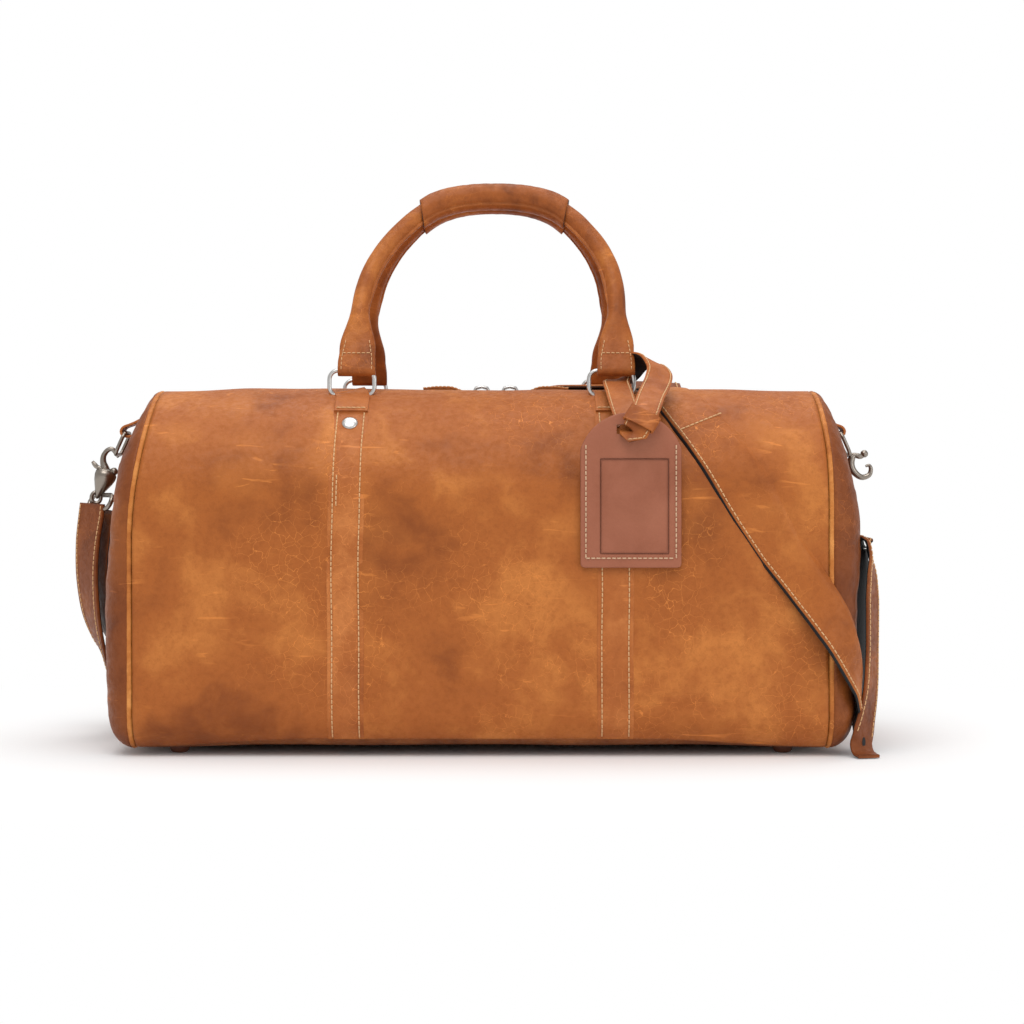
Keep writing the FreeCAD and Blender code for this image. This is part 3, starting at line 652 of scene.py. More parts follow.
def bottom_panel():
    """Grainy base leather, tucked under the two body panels."""
    xs = spread(-PANEL_HALF, PANEL_HALF, 120)
    rows = 70
    verts = []
    for r in range(rows):
        for x in xs:
            first = seam_end(x) - 2.5
            s = first + (2 * HALF_ROUND - 2 * first) * r / (rows - 1)
            edge = min(r, rows - 1 - r) / 5
            y, z, ny, nz = profile(s if s <= HALF_ROUND else s - 2 * HALF_ROUND)
            bow = 0.8 * noise.noise(Vector((x / 60, y / 60, 4))) * min(1, edge)
            d = -0.9 * math.exp(-edge) + bow
            verts.append(settle(x, y + ny * d, z + nz * d))
    obj = build_mesh("bottom_leather", verts, grid_faces(rows, len(xs)), base_mat, "bag", "body_leather")
    thicken(obj, 2.0)
    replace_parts(obj, "bottom_panel")


bottom_panel()


# Lengths of half the outline's stretches: flat top, upper corner, side, lower corner, bottom.
STRETCHES = [35.0, 133.5, 140.0, 39.3, 95.0]


def outline_point(u, inset, x):
    """Point of the cross section, u from 0 to 1 all the way round, pulled in by inset."""
    low_r = max(R_LOW - inset, 4.0)
    high_r = max(R_TOP - inset, 6.0)
    side = HALF_DEPTH - inset
    low, high = LOW + inset, TOP - inset
    v = (u if u <= 0.5 else 1 - u) * 2 * sum(STRETCHES)
    sign = -1 if u <= 0.5 else 1
    k = 0
    while k < 4 and v > STRETCHES[k]:
        v -= STRETCHES[k]
        k += 1
    v = min(v / STRETCHES[k], 1.0)
    a = v * math.pi / 2
    if k == 0:
        y, z = (side - high_r) * v, high
    elif k == 1:
        y, z = side - high_r + high_r * math.sin(a), high - high_r + high_r * math.cos(a)
    elif k == 2:
        y, z = side, high - high_r - (high - high_r - low - low_r) * v
    elif k == 3:
        y, z = side - low_r + low_r * math.cos(a), low + low_r - low_r * math.sin(a)
    else:
        y, z = (side - low_r) * (1 - v), low
    return x, sign * y, z


def end_leather(name, sign, node):
    """Domed end; each step is a share of the dome's height and the inset of its outline there."""
    steps = [(0.0, 0.0), (0.1, 0.4), (0.2, 1.0), (0.31, 2.1), (0.42, 3.6), (0.53, 5.7), (0.62, 8.0),
             (0.71, 11.2), (0.78, 15.0), (0.85, 19.7), (0.9, 25.0), (0.94, 31.0), (0.97, 38.0), (0.99, 45.0)]
    steps += [(1.0, 52.0 + 7.0 * i) for i in range(9)]
    around = 240
    verts = []
    for share, inset in steps:
        for k in range(around):
            u = k / around
            x, y, z = outline_point(u, inset, END_START - 1.5 + (END_BULGE + 1.5) * share)
            p = Vector((y / 70, z / 70, sign * 5))
            dent = noise.noise(p) * 3.2 * share + noise.noise(p * 3) * 1.2 * share
            x -= (13.0 if sign > 0 else 11.0) * share * smooth_step(135, 245, z)
            x += share * level_at(END_SHAPE[sign], z)
            x -= 2.0 * share if sign < 0 else 0.0
            wave = math.sin(u * 260 + 4 * noise.noise(Vector((u * 30, 0, sign))))
            pucker = 0.5 * wave * share * (1 - share) * 4
            x += min(dent, 1.2) - 1.0 * share + pucker
            verts.append(settle(sign * x, y, z))
    faces = grid_faces(len(steps), around, True)
    last = (len(steps) - 1) * around
    verts.append(sum(verts[last:], Vector((0, 0, 0))) / around)
    faces += [(last + k, last + (k + 1) % around, last + around) for k in range(around)]
    # The end leather's darker colour is painted shade.
    obj = build_mesh(name, verts, facing(faces, sign > 0), shaded_end_mat, "bag", "body_leather")
    thicken(obj, 2.0)
    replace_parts(obj, node)


end_leather("left_end_leather", -1, "left_end_panel")
end_leather("right_end_leather", 1, "right_end_panel")


def piping(sign, name, node):
    """Slightly uneven cord in the seam between the body and an end."""
    points = [settle(*outline_point(k / 260, 0.3, sign * (SEAM_HALF + 0.2))) for k in range(260)]
    radii = [2.45 + 0.1 * math.sin(i * 1.7) for i in range(260)]
    obj = build_mesh(name, *tube_mesh(points, radii, True, 14, Vector((1, 0, 0))), piping_mat, "bag",
                     "piping_leather")
    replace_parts(obj, node)


piping(-1, "left_piping_cord", "left_piping")
piping(1, "right_piping_cord", "right_piping")


def inner_cloth():
    """Black lining hanging a little inside the leather, open under the zipper."""
    xs = spread(-PANEL_HALF + 3, PANEL_HALF - 3, 90)
    rows = 150
    verts = []
    for r in range(rows):
        for x in xs:
            s = 17.5 + (2 * HALF_ROUND - 35) * r / (rows - 1)
            y, z, ny, nz = profile(s if s <= HALF_ROUND else s - 2 * HALF_ROUND)
            d = -4.6 - 0.5 * noise.noise(Vector((x / 25, y / 25, z / 25)))
            verts.append(settle(x, y + ny * d, z + nz * d))
    obj = build_mesh("inner_lining", verts, grid_faces(rows, len(xs)), lining_mat, "bag", "lining_cloth")
    thicken(obj, 0.6)
    for sign in (-1, 1):
        cap = []
        for inset in (5.0, 14.0, 40.0, 75.0, 110.0):
            for k in range(120):
                x, y, z = outline_point(k / 120, inset, sign * (PANEL_HALF - 2.5))
                cap.append(settle(x, y, z))
        side = build_mesh("inner_lining_end_" + ("left" if sign < 0 else "right"), cap,
                          grid_faces(5, 120, True), lining_mat, "bag", "lining_cloth")
        thicken(side, 0.6)
    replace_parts(obj, "lining")


inner_cloth()


# ---------------------------------------------------------------- zipper

def zip_point(x, y, out):
    """Place out mm above the top's middle, which rises a little with the leather beside the zipper."""
    return settle(x, y, TOP + out + top_lift(x, -y) + 1.2 * edge_fade(x) * (1 - 0.8 * hump(x, 10, 120)))


def zipper():
    """Tapes, rows of teeth, end stops and the leather over both ends."""
    xs = spread(-224, 224, 220)
    for sign, name, node in ((-1, "front_tape", "front_zipper_tape"), (1, "rear_tape", "rear_zipper_tape")):
        ys = [sign * y for y in (2.6, 3.6, 6.0, 9.0, 12.0, 15.0, 18.5)]
        verts = []
        for y in ys:
            verts += [zip_point(x, y, -2.6 + 0.25 * noise.noise(Vector((x / 9, y / 9, 0)))) for x in xs]
        faces = facing(grid_faces(len(ys), len(xs)), sign < 0)
        obj = build_mesh(name, verts, faces, tape_mat, "bag", "zip_tape")
        thicken(obj, 0.9)
        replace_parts(obj, node)
    for sign, name, node in ((-1, "front_teeth", "front_zipper_coil"), (1, "rear_teeth", "rear_zipper_coil")):
        parts = Parts()
        points = []
        for i, x in enumerate(spread(-223, 223, 2240)):
            a = i * math.pi / 4
            points.append(zip_point(x, sign * (1.7 + 1.1 * math.cos(a)), -2.7 + 1.2 * math.sin(a)))
        parts.add(*tube_mesh(points, 0.32, sides=5))
        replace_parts(parts.build(name, coil_mat, "bag", "zip_coil"), node)
    stops = Parts()
    ends = Parts()
    for sign in (-1, 1):
        stops.add(*rounded_box(zip_point(sign * 225.5, 0, -2.6), (3.0, 5.0, 2.6), 0.5))
        rows = []
        for i in range(9):
            x = sign * (PANEL_HALF - 16.5 + 16.5 * i / 8)
            rows += [zip_point(x, -18 + 3 * k, 0.9) for k in range(13)]
        ends.add(rows, facing(grid_faces(9, 13), sign > 0))
    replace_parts(stops.build("zipper_end_stops", nickel_mat, "bag", "nickel"), "zipper_stops")
    tabs = ends.build("zipper_end_leathers", trim_mat, "bag", "trim_leather")
    thicken(tabs, 1.6)
    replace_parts(tabs, "zipper_end_tabs")


def rounded_box(centre, size, bevel):
    """Box with rounded edges, as a stack of rounded outlines."""
    hx, hy, hz = (v / 2 for v in size)
    outline = []
    for sx, sy, a0 in ((1, 1, 0), (-1, 1, 90), (-1, -1, 180), (1, -1, 270)):
        for d in (0, 30, 60, 90):
            a = math.radians(a0 + d)
            outline.append((sx * (hx - bevel), sy * (hy - bevel), math.cos(a), math.sin(a)))
    levels = [(-hz, 0.0), (-hz + bevel * 0.3, 0.7), (-hz + bevel, 1.0),
              (hz - bevel, 1.0), (hz - bevel * 0.3, 0.7), (hz, 0.0)]
    verts = []
    for z, share in levels:
        r = bevel * share
        verts += [Vector(centre) + Vector((cx + ux * r, cy + uy * r, z)) for cx, cy, ux, uy in outline]
    return verts, rod_faces(len(levels), len(outline), True)


zipper()
SLIDER_X = {"left": -1.0, "right": 20.5}
PULL_Z = 259.2


def rounder(v, power):
    """A sine or cosine drawn out, which makes a circle into a rounded square."""
    return math.copysign(abs(v) ** power, v)


def pull_width(run):
    """Width of a pull's leather along its run."""
    return 10.0 if run < 0.86 else 6.2


def slider(side):
    """Slider with its crown, and the wire link and leather pull that hinge on it."""
    x = SLIDER_X[side]
    sign = -1 if side == "left" else 1
    body = side + "_slider"
    parts = Parts()
    parts.add(*rounded_box((x, 0, 258.6), (14, 9.4, 2.6), 1.1))
    parts.add(*rounded_box((x + sign * 3.5, 0, 259.4), (6.5, 6.6, 2.4), 1.0))
    parts.add(*rounded_box((x, 0, 252.6), (13, 9, 1.3), 0.6))
    parts.add(*rounded_box((x, 0, 255.1), (12, 0.9, 5.6), 0.3))
    crown = [Vector((x + u, 0, z)) for u, z in ((-5.4, 258.8), (-5.6, 261.6), (-4.2, 264.2), (0, 265.2),
                                                (4.2, 264.2), (5.6, 261.6), (5.4, 258.8))]
    parts.add(*tube_mesh(crown, 1.35, sides=12, up=ACROSS))
    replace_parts(parts.build(side + "_slider_metal", nickel_mat, body, "nickel"), body)
    far = x + sign * 9
    loop = []
    for a in circle(32):
        cx = (x + far) / 2 - 4.5 * sign * rounder(math.cos(a), 0.6)
        loop.append(Vector((cx, 4.0 * rounder(math.sin(a), 0.6), PULL_Z)))
    link = Parts()
    link.add(*tube_mesh(loop, 0.75, True, 10))
    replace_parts(link.build(side + "_pull_wire", nickel_mat, side + "_pull", "nickel"), side + "_pull_link")
    stations = []
    for i in range(40):
        d = 44.0 - 9 - 36.0 * i / 39
        rise = 4.6 * smooth_step(0, 16, d) - 1.0 * smooth_step(24, 36, d)
        stations.append((Vector((far + sign * d, 0, PULL_Z + 0.2 + rise)), Vector((0, 0, 1))))
    tab = ribbon(side + "_pull_leather", stations, pull_width, 1.3, [strap_mat, trim_mat], side + "_pull",
                 "trim_leather", out=-0.2)
    ribbon(side + "_pull_leather_under", stations, pull_width, 1.0, [strap_mat, trim_mat], side + "_pull",
           "trim_leather", out=-1.4)
    knot = Parts()
    knot.add(*tube_mesh([Vector((far, y, PULL_Z)) for y in (-3.0, -1.5, 0, 1.5, 3.0)], 1.7, sides=14,
                        up=Vector((0, 0, 1))))
    knot.build(side + "_pull_fold", strap_mat, side + "_pull", "trim_leather")
    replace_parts(tab, side + "_pull_tab")
    threads = Parts()
    for off in (-3.6, 3.6):
        ribbon_stitches(threads, stations[:32], off, 1.15, pitch=3.0, length=2.1, radius=0.35)
    threads.build(side + "_pull_stitches", thread_mat, side + "_pull", "trim_leather")


slider("left")
slider("right")


# ---------------------------------------------------------------- handle straps, keepers, rings, rivets

BAR_Y = -65.0
BAR_Z = 256.632
HINGE_Z = 273.632
BAR_ANGLE = math.degrees(math.asin((-BAR_Y - FLAT) / (R_TOP + 3.85)))
# The drawn rings hang a little lower and further out than the CAD ones, as in the photograph.
RING_Y = BAR_Y - 0.9
RING_Z = BAR_Z - 1.6


def s_at(degrees):
    """Run s at an angle round the bag's upper corner, 0 at the top."""
    return FLAT + R_TOP * math.radians(degrees)


def on_leather(x, s, lift):
    """Station above the leather, for straps sewn to it."""
    face = body_face(x, s)
    return body_point(x, s) + face * lift, face


def mirrored(v):
    return Vector((v.x, -v.y, v.z))


def mirror_station(station):
    place, face = station
    return mirrored(place), mirrored(face)


body_threads = Parts()


def handle_strap(face, side, sign, sx):
    """Strap sewn to the leather, from the ring's bar down to the bottom seam."""
    x0 = sx * STRAP_X
    stations = []
    for s in spread(s_at(BAR_ANGLE) + 3.9, seam_end(x0) - 0.6, 120):
        wander = 0.7 * noise.noise(Vector((s / 60, sx * 3, sign)))
        stations.append(on_leather(x0 + wander, sign * s, 0.05))
    # The dark under face, widened by 0.6 mm, shows as a thin dark band beside the strap: painted shadow along
    # its edges.
    obj = ribbon(f"{face}_{side}_leather_strap", stations, 25.6, 2.0, [strap_mat, edge_and_shadow_mat], "bag",
                 "strap_leather", crown=0.15, groove=0.73, foot=0.6)
    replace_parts(obj, f"{face}_{side}_strap")
    for off in (-9.4, 9.4):
        ribbon_stitches(body_threads, stations, off, 2.05, 0.075, 1.0, 3.7, 2.7)
    if side == "left" and face == "front":
        ribbon_stitches(body_threads, stations, -6.9, 2.12, 0.3, 0.38, 3.7, 2.7)


def keeper(face, side, sign, sx):
    """Leather fold round the ring's bar, sewn down on the strap."""
    x0 = sx * STRAP_X
    centre = Vector((x0, RING_Y, RING_Z))
    stations = [on_leather(x0, s_at(38.5 - i * 1.5), 2.05) for i in range(10)]
    radial = Vector((0, -math.sin(math.radians(BAR_ANGLE)), math.cos(math.radians(BAR_ANGLE))))
    tangent = Vector((0, -radial.z, radial.y))
    for i in range(15):
        a = math.radians(100 + i * 15)
        d = radial * math.sin(a) - tangent * math.cos(a)
        stations.append((centre + d * 1.7, d))
    seam = [on_leather(x0 + q, s_at(36.6), 3.95) for q in spread(-10.5, 10.5, 12)]
    if sign < 0:
        stations = [mirror_station(s) for s in stations]
        seam = [mirror_station(s) for s in seam]
    obj = ribbon(f"{face}_{side}_leather_keeper", resample(stations, 1.0), 24.0, 1.75, [strap_mat], "bag",
                 "strap_leather", crown=0.1)
    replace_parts(obj, f"{face}_{side}_keeper")
    stitch_line(body_threads, seam, 3.5, 2.6)


def ring_points(width, height, corner, radius):
    """Middle line of a wire ring in the XZ plane, its lower bar on the X axis."""
    side = width / 2 - radius - corner
    high = height - 2 * radius - corner
    points = []
    for cx, cz, first in ((side, corner, -90), (side, high, 0), (-side, high, 90), (-side, corner, 180)):
        for degrees in spread(first, first + 90, 7):
            a = math.radians(degrees)
            points.append(Vector((cx + corner * math.cos(a), 0, cz + corner * math.sin(a))))
    dense = []
    for i, p in enumerate(points):
        q = points[(i + 1) % len(points)]
        count = max(1, round((q - p).length / 2))
        dense += [p.lerp(q, k / count) for k in range(count)]
    return dense


def handle_ring(face, side, sign, sx):
    """Wire ring of a handle, hanging from its bar in the keeper."""
    points = [p + Vector((sx * STRAP_X, RING_Y, RING_Z)) for p in ring_points(35.6, 21.6, 6.5, 1.5)]
    if sign < 0:
        points = [mirrored(p) for p in points]
    obj = build_mesh(f"{face}_{side}_ring_wire", *tube_mesh(points, 1.55, True, 16, ACROSS),
                     nickel_mat, f"{face}_rings", "nickel")
    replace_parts(obj, f"{face}_{side}_ring")


rivet_parts = Parts()
dome = [(5.7, 0.0), (5.7, 0.5), (5.3, 1.0), (4.3, 1.5), (2.8, 1.9), (1.2, 2.05), (0.0, 2.1)]
for face, sign in (("front", 1), ("rear", -1)):
    for side, sx in (("left", -1), ("right", 1)):
        handle_strap(face, side, sign, sx)
        keeper(face, side, sign, sx)
        handle_ring(face, side, sign, sx)
        rivet_parts.add(*lathe(dome, *on_leather(sx * STRAP_X, sign * s_at(46.0), 2.0), 24))
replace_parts(rivet_parts.build("rivet_heads", nickel_mat, "bag", "nickel"), "strap_rivets")


# ---------------------------------------------------------------- handles and grips

# Angle at which the two grips nearly touch over the zipper: grip radius, gap, height above the hinge.
LEAN = math.asin((-BAR_Y - 11.5 - 0.15) / 141.0)
HALF_ARCH = [(94.0, 9.0), (94.3, 30.0), (94.0, 50.0), (91.8, 69.0), (86.4, 87.0), (76.8, 104.8),
             (66.0, 118.4), (55.5, 128.8), (44.0, 137.0), (30.0, 142.0), (15.0, 144.4), (0.0, 145.0)]


def arch_points():
    """Middle line of the handle, built upright: legs, tight shoulders and a flat top."""
    whole = [(-x, z) for x, z in HALF_ARCH] + [(x, z) for x, z in reversed(HALF_ARCH[:-1])]
    run = resample([((x, 0, z), (0, 1, 0)) for x, z in whole], 3.0)
    return [(p.x, p.z) for p, _ in run]


def lean_place(x, y, z, sign):
    """From the upright handle to its place: leaned inwards and a little to the right with height."""
    x += 3.4 + 5.4 * smooth_step(0, 150, z)
    c, s = math.cos(LEAN), math.sin(LEAN)
    return Vector((x, (BAR_Y + y * c + z * s) * sign, HINGE_Z - y * s + z * c))


def run_length(points):
    """Distance along a line up to each of its points."""
    total = [0.0]
    for a, b in zip(points, points[1:]):
        total.append(total[-1] + math.hypot(b[0] - a[0], b[1] - a[1]))
    return total


def handle_rows(sign):
    """For each place along the arch: middle, inward direction, flare, unevenness, run from the nearer end."""
    flat = arch_points()
    run = run_length(flat)
    heart = Vector((0, 0, 20))
    rows = []
    for i, (x, z) in enumerate(flat):
        a, b = flat[max(i - 1, 0)], flat[min(i + 1, len(flat) - 1)]
        t = Vector((b[0] - a[0], 0, b[1] - a[1])).normalized()
        place, inward = Vector((x, 0, z)), Vector((-t.z, 0, t.x))
        if (place + inward * 5 - heart).length >= (place - heart).length:
            inward = -inward
        d = min(run[i], run[-1] - run[i])
        flare = 1 - smooth_step(9, 40, d)
        uneven = 0.25 * noise.noise(Vector((run[i] / 14, sign, 0)))
        rows.append((place, inward, flare, uneven, d))
    return rows


def handle_leather(face, sign, rows):
    """Rolled leather over its rope core, flattened and wider towards the loops."""
    sides = 28
    verts = []
    for place, inward, flare, uneven, _ in rows:
        power = 1 - 0.45 * flare
        wide, deep = 6.8 + 6.2 * flare + uneven, 6.8 - 2.6 * flare + uneven
        for a in circle(sides):
            p = place - inward * (rounder(math.cos(a), power) * wide)
            verts.append(lean_place(p.x, rounder(math.sin(a), power) * deep, p.z, sign))
    faces = facing(grid_faces(len(rows), sides, True), sign < 0)
    obj = build_mesh(f"{face}_handle_leather", verts, faces, handle_mat, f"{face}_handle", "handle_leather")
    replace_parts(obj, f"{face}_handle_cover", f"{face}_handle_core")


def handle_loops(face, sign):
    """Flat ends of the handle, folded round the rings and sewn."""
    section = [(math.cos(a) * 4.4, math.sin(a) * 4.2) for a in spread(-math.pi, 0, 25)]
    flat_side = [(4.3, 6), (4.2, 12), (4.2, 20), (4.0, 27), (3.7, 30.5), (2.5, 31.2)]
    section += flat_side + [(-y, z) for y, z in reversed(flat_side)]
    seam_look = Vector((0, -sign * math.cos(LEAN), math.sin(LEAN))).normalized()
    loops = Parts()
    threads = Parts()
    for sx in (-1, 1):
        verts = []
        for q in spread(-1, 1, 13):
            thin = 1 - 0.16 * max(0, abs(q) - 0.8) / 0.2
            for y, z in section:
                narrow = 13.7 - 3.6 * smooth_step(4, 31, z)
                verts.append(lean_place(sx * STRAP_X + q * narrow, y * thin, z, sign))
        loops.add(verts, facing(rod_faces(13, len(section), True), sign < 0))
        for off in (-11.0, 11.0):
            line = []
            for z in spread(-1, 24, 16):
                x = sx * STRAP_X + off * (1 - 0.3 * smooth_step(4, 31, z))
                line.append((lean_place(x, -4.25, z, sign), seam_look))
            stitch_line(threads, line, 3.5, 2.2, 0.3)
        row = [(lean_place(sx * STRAP_X + q, -4.35, 12.0, sign), Vector((0, -sign, 0.3)).normalized())
               for q in spread(-10.4, 10.4, 10)]
        stitch_line(threads, row, 3.5, 2.2, 0.34)
    loop_obj = loops.build(f"{face}_handle_loops", handle_mat, f"{face}_handle", "handle_leather")
    bevel = loop_obj.modifiers.new("soft edges", "BEVEL")
    bevel.width = 0.8 * MM
    bevel.segments = 2
    threads.build(f"{face}_handle_stitches", thread_mat, f"{face}_handle", "handle_leather")


def handle_seam(face, sign, rows):
    """Raised lip where the rolled leather is closed, along the inner side of the arch."""
    verts = []
    kept = [row for row in rows if row[4] >= 30]
    for place, inward, flare, _, d in kept:
        sunk = 0.6 + 2.4 * (1 - smooth_step(32, 60, d))
        at = place + inward * (6.8 + 6.2 * flare - sunk) + Vector((0, -1.2, 0))
        wave = 0.25 * noise.noise(Vector((at.x / 5, at.z / 5, 0)))
        low, high = 1.5 + wave, 2.0 + wave
        for w, h in ((-1.4, 0), (-1.2, low), (-0.6, high), (0.6, high), (1.2, low), (1.4, 0)):
            p = at + inward * h
            verts.append(lean_place(p.x, p.y - w, p.z, sign))
    faces = facing(grid_faces(len(kept), 6), sign < 0)
    build_mesh(f"{face}_handle_seam", verts, faces, trim_mat, f"{face}_handle", "handle_leather")


def grip(face, sign):
    """Leather wrapped round the handle's middle, its outer edge lapped over the inner one."""
    line = arch_points()
    half = 54.0
    rows = 72
    sides = 48
    verts = []
    for i, x in enumerate(spread(-half, half, rows + 1)):
        a = 0.2 * x / half
        c = Vector((x, 0, level_at(line, x)))
        up = Vector((math.sin(a), 0, math.cos(a)))
        tight = 1 - 0.04 * math.exp(-min(i, rows - i) / 3)
        wide = 1.6 * abs(x / half) ** 3
        ripple = 0.2 * noise.noise(Vector((a * 60, sign, 3)))
        for k in range(sides):
            turn = k / (sides - 1)
            q = math.radians(-62) - 2 * math.pi * turn
            r = 9.0 + 1.5 * (1 - turn) ** 0.5 + ripple
            p = c + up * ((r + wide) * tight * math.sin(q)) + Vector((0, -r * tight * math.cos(q), 0))
            verts.append(lean_place(p.x, p.y, p.z, sign))
    faces = facing(grid_faces(rows + 1, sides, True), sign < 0)
    obj = build_mesh(f"{face}_grip_leather", verts, faces, handle_mat, f"{face}_handle", "handle_leather",
                     extra=(edge_and_shadow_mat,))
    thicken(obj, 2.4, 1)
    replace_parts(obj, f"{face}_grip")


for face, sign in (("front", 1), ("rear", -1)):
    arch_rows = handle_rows(sign)
    handle_leather(face, sign, arch_rows)
    handle_loops(face, sign)
    handle_seam(face, sign, arch_rows)
    grip(face, sign)


# ---------------------------------------------------------------- feet

feet = Parts()
dome = [(0.0, 0.0), (4.0, 0.05), (5.4, 0.6), (6.6, 2.0), (7.1, 4.0), (7.1, 6.2), (6.6, 8.4)]
for x, y in [(sx * 215.0, sy * 88.0) for sx in (-1, 1) for sy in (-1, 1)] + [(0.0, 0.0)]:
    feet.add(*lathe(dome, (x, y, 0), (0, 0, 1), 24))
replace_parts(feet.build("leather_feet", foot_mat, "bag", "feet_leather"), "feet")


# ---------------------------------------------------------------- end tabs, rings and hooks

# The end rings hang from bars on the ends, and lean out together with the left strap ring.
END_BAR_X = END_WALL + 3.7
END_BAR_Z = 231.0
HOOK_LEAN = math.radians(24.0)
HOOK_R = 4.3
HOOK_Z = END_BAR_Z - 16.8
SWIVEL_X = END_BAR_X - HOOK_R


def leaned(p, side):
    """A right-hand place turned about the ring's bar, mirrored for the left side."""
    dx, dz = p[0] - END_BAR_X, p[2] - END_BAR_Z
    c, s = math.cos(HOOK_LEAN), math.sin(HOOK_LEAN)
    x = END_BAR_X + dx * c - dz * s
    z = END_BAR_Z + dx * s + dz * c
    return Vector((x * (1 if side == "right" else -1), p[1], z))


def end_tab(side):
    """Leather loop round the ring's bar, both ends sewn to the bag's end."""
    sign = 1 if side == "right" else -1
    bx = END_BAR_X - 2.0
    stations = [((bx - 21, 0, 246.5), (0.8, 0, 0.5)), ((bx - 16.5, 0, 242.4), (0.7, 0, 0.7)),
                ((bx - 9, 0, 238.0), (0.35, 0, 0.9)), ((bx - 3, 0, 235.4), (0.3, 0, 0.95)),
                ((bx + 1.2, 0, 233.8), (0.6, 0, 0.8)), ((bx + 2.9, 0, 231.2), (1, 0, 0)),
                ((bx + 1.6, 0, 228.8), (0.6, 0, -0.8)), ((bx - 2.5, 0, 228.4), (-0.2, 0, -1)),
                ((bx - 13, 0, 230.6), (-0.5, 0, -0.8))]
    stations = [((sign * p[0], p[1], p[2]), (sign * f[0], f[1], f[2])) for p, f in stations]
    obj = ribbon(side + "_end_leather_tab", resample(stations, 1.2), 16.0, 1.8, [strap_mat], "bag",
                 "trim_leather", crown=0.1)
    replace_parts(obj, side + "_end_tab")


def end_ring(side):
    """D-ring that hangs in the loop of the end's tab."""
    body = "right_ring" if side == "right" else "left_hook"
    loop = [Vector((END_BAR_X - 2, p.x, END_BAR_Z - p.z)) for p in ring_points(26.0, 21.0, 5.0, 1.5)]
    parts = Parts()
    verts, faces = tube_mesh(loop, 1.5, True, 14, Vector((1, 0, 0)))
    parts.add([leaned(v, side) for v in verts], facing(faces, side == "left"))
    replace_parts(parts.build(side + "_end_ring", antique_mat, body, "nickel"), side + "_d_ring")


def smooth_line(points):
    return [p for p, _ in resample([(q, ACROSS) for q in points], 1.0)]


def taper(points, radii):
    """Radius along a smoothed path, from a few values spread evenly."""
    n = len(points)
    out = []
    for i in range(n):
        t = i / (n - 1) * (len(radii) - 1)
        k = min(int(t), len(radii) - 2)
        out.append(radii[k] + (radii[k + 1] - radii[k]) * (t - k))
    return out


def wire(points, radii, y=0, sides=12):
    """Bent rod of changing radius through (x, z) points, in a plane parallel to the bag's front."""
    line = smooth_line([(x, y, z) for x, z in points])
    return tube_mesh(line, taper(line, radii), sides=sides, up=ACROSS)


def left_hook():
    """Snap hook: slim curved hook through the ring, faceted teardrop barrel, swivel eye on the strap ring."""
    parts = Parts()
    parts.add(*wire([(-276.4, 211.6), (-278.2, 214.8), (-281.0, 218.0), (-284.6, 217.0), (-287.4, 213.0),
                     (-287.8, 208.4), (-286.6, 204.0), (-285.8, 200.5)],
                    [0.9, 1.6, 1.8, 1.9, 2.1, 2.4, 3.0, 4.0], sides=14))
    drop = [(0.6, 0.0), (1.6, 1.2), (2.8, 4.0), (4.8, 8.5), (7.0, 13.5), (8.2, 17.5), (8.2, 20.5),
            (6.4, 22.8), (3.6, 24.2)]
    parts.add(*lathe(drop, (-292.8, 0, 180.4), (8.4, 0, 22.0), 9))
    parts.add(*lathe([(3.0, 0), (3.0, 3.0), (2.2, 4.4), (0.6, 5.0)], (-281.6, 0, 200.2), (0.92, 0, 0.38), 12))
    eye = [Vector((-293.2 + 3.4 * math.cos(a), 0.8 * math.cos(a), 181.2 + 4.2 * math.sin(a)))
           for a in circle(20)]
    parts.add(*tube_mesh(eye, 1.5, True, 10, ACROSS))
    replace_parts(parts.build("left_snap_hook", antique_mat, "left_hook", "nickel"), "left_hook")
    catch = Parts()
    catch.add(*wire([(-283.4, 203.0), (-288.5, 203.4), (-292.6, 204.6), (-296.0, 208.6)],
                    [1.6, 1.8, 1.6, 1.9, 1.2]))
    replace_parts(catch.build("left_hook_catch", antique_mat, "left_trigger", "nickel"), "left_trigger")


def right_hook():
    """Open hook hanging from the right ring: a link with a ball end, then the bare hook."""
    parts = Parts()
    parts.add(*wire([(275.0, 213.6), (281.4, 213.4), (286.0, 212.4), (288.6, 214.0)],
                    [1.8, 1.7, 2.2, 1.6], -1))
    parts.add(*lathe([(0.6, -2.9), (2.2, -2.0), (2.9, -0.6), (2.9, 0.8), (2.0, 2.2), (0.5, 2.9)],
                     (288.8, -1, 214.4), (0.5, 0, 0.9), 14))
    parts.add(*wire([(280.6, 213.6), (278.6, 208.6), (279.4, 203.4), (283.0, 198.8), (287.4, 196.6),
                     (292.4, 198.4), (293.8, 202.6), (292.6, 205.6), (289.8, 205.0)],
                    [2.2, 3.0, 2.9, 2.6, 2.3, 2.1, 1.9, 1.5, 0.9], -1))
    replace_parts(parts.build("right_snap_hook", antique_mat, "right_hook", "nickel"), "right_hook")


for side in ("left", "right"):
    end_tab(side)
    end_ring(side)
left_hook()
right_hook()

STRAP_TURN = math.radians(33.0)
STRAP_RING_TOP = HOOK_Z - 11 - 20 - 1.8 - 0.9
SWIVEL_FOOT = leaned((SWIVEL_X, 0, STRAP_RING_TOP), "left")


def turned_out(p):
    """Turns a left-hand point about the upright line through the swivel's foot."""
    dx, dy = p.x - SWIVEL_FOOT.x, p.y
    c, s = math.cos(STRAP_TURN), math.sin(STRAP_TURN)
    return Vector((SWIVEL_FOOT.x + dx * c - dy * s, dx * s + dy * c, p.z))


loop = [turned_out(leaned((SWIVEL_X, p.x, STRAP_RING_TOP - p.z), "left"))
        for p in ring_points(46.0, 15.0, 6.4, 1.8)]
ring = build_mesh("left_strap_ring", *tube_mesh(loop, 1.8, True, 14, Vector((1, 0, 0))), antique_mat,
                  "left_hook", "nickel")
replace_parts(ring, "strap_ring")


# ---------------------------------------------------------------- shoulder strap

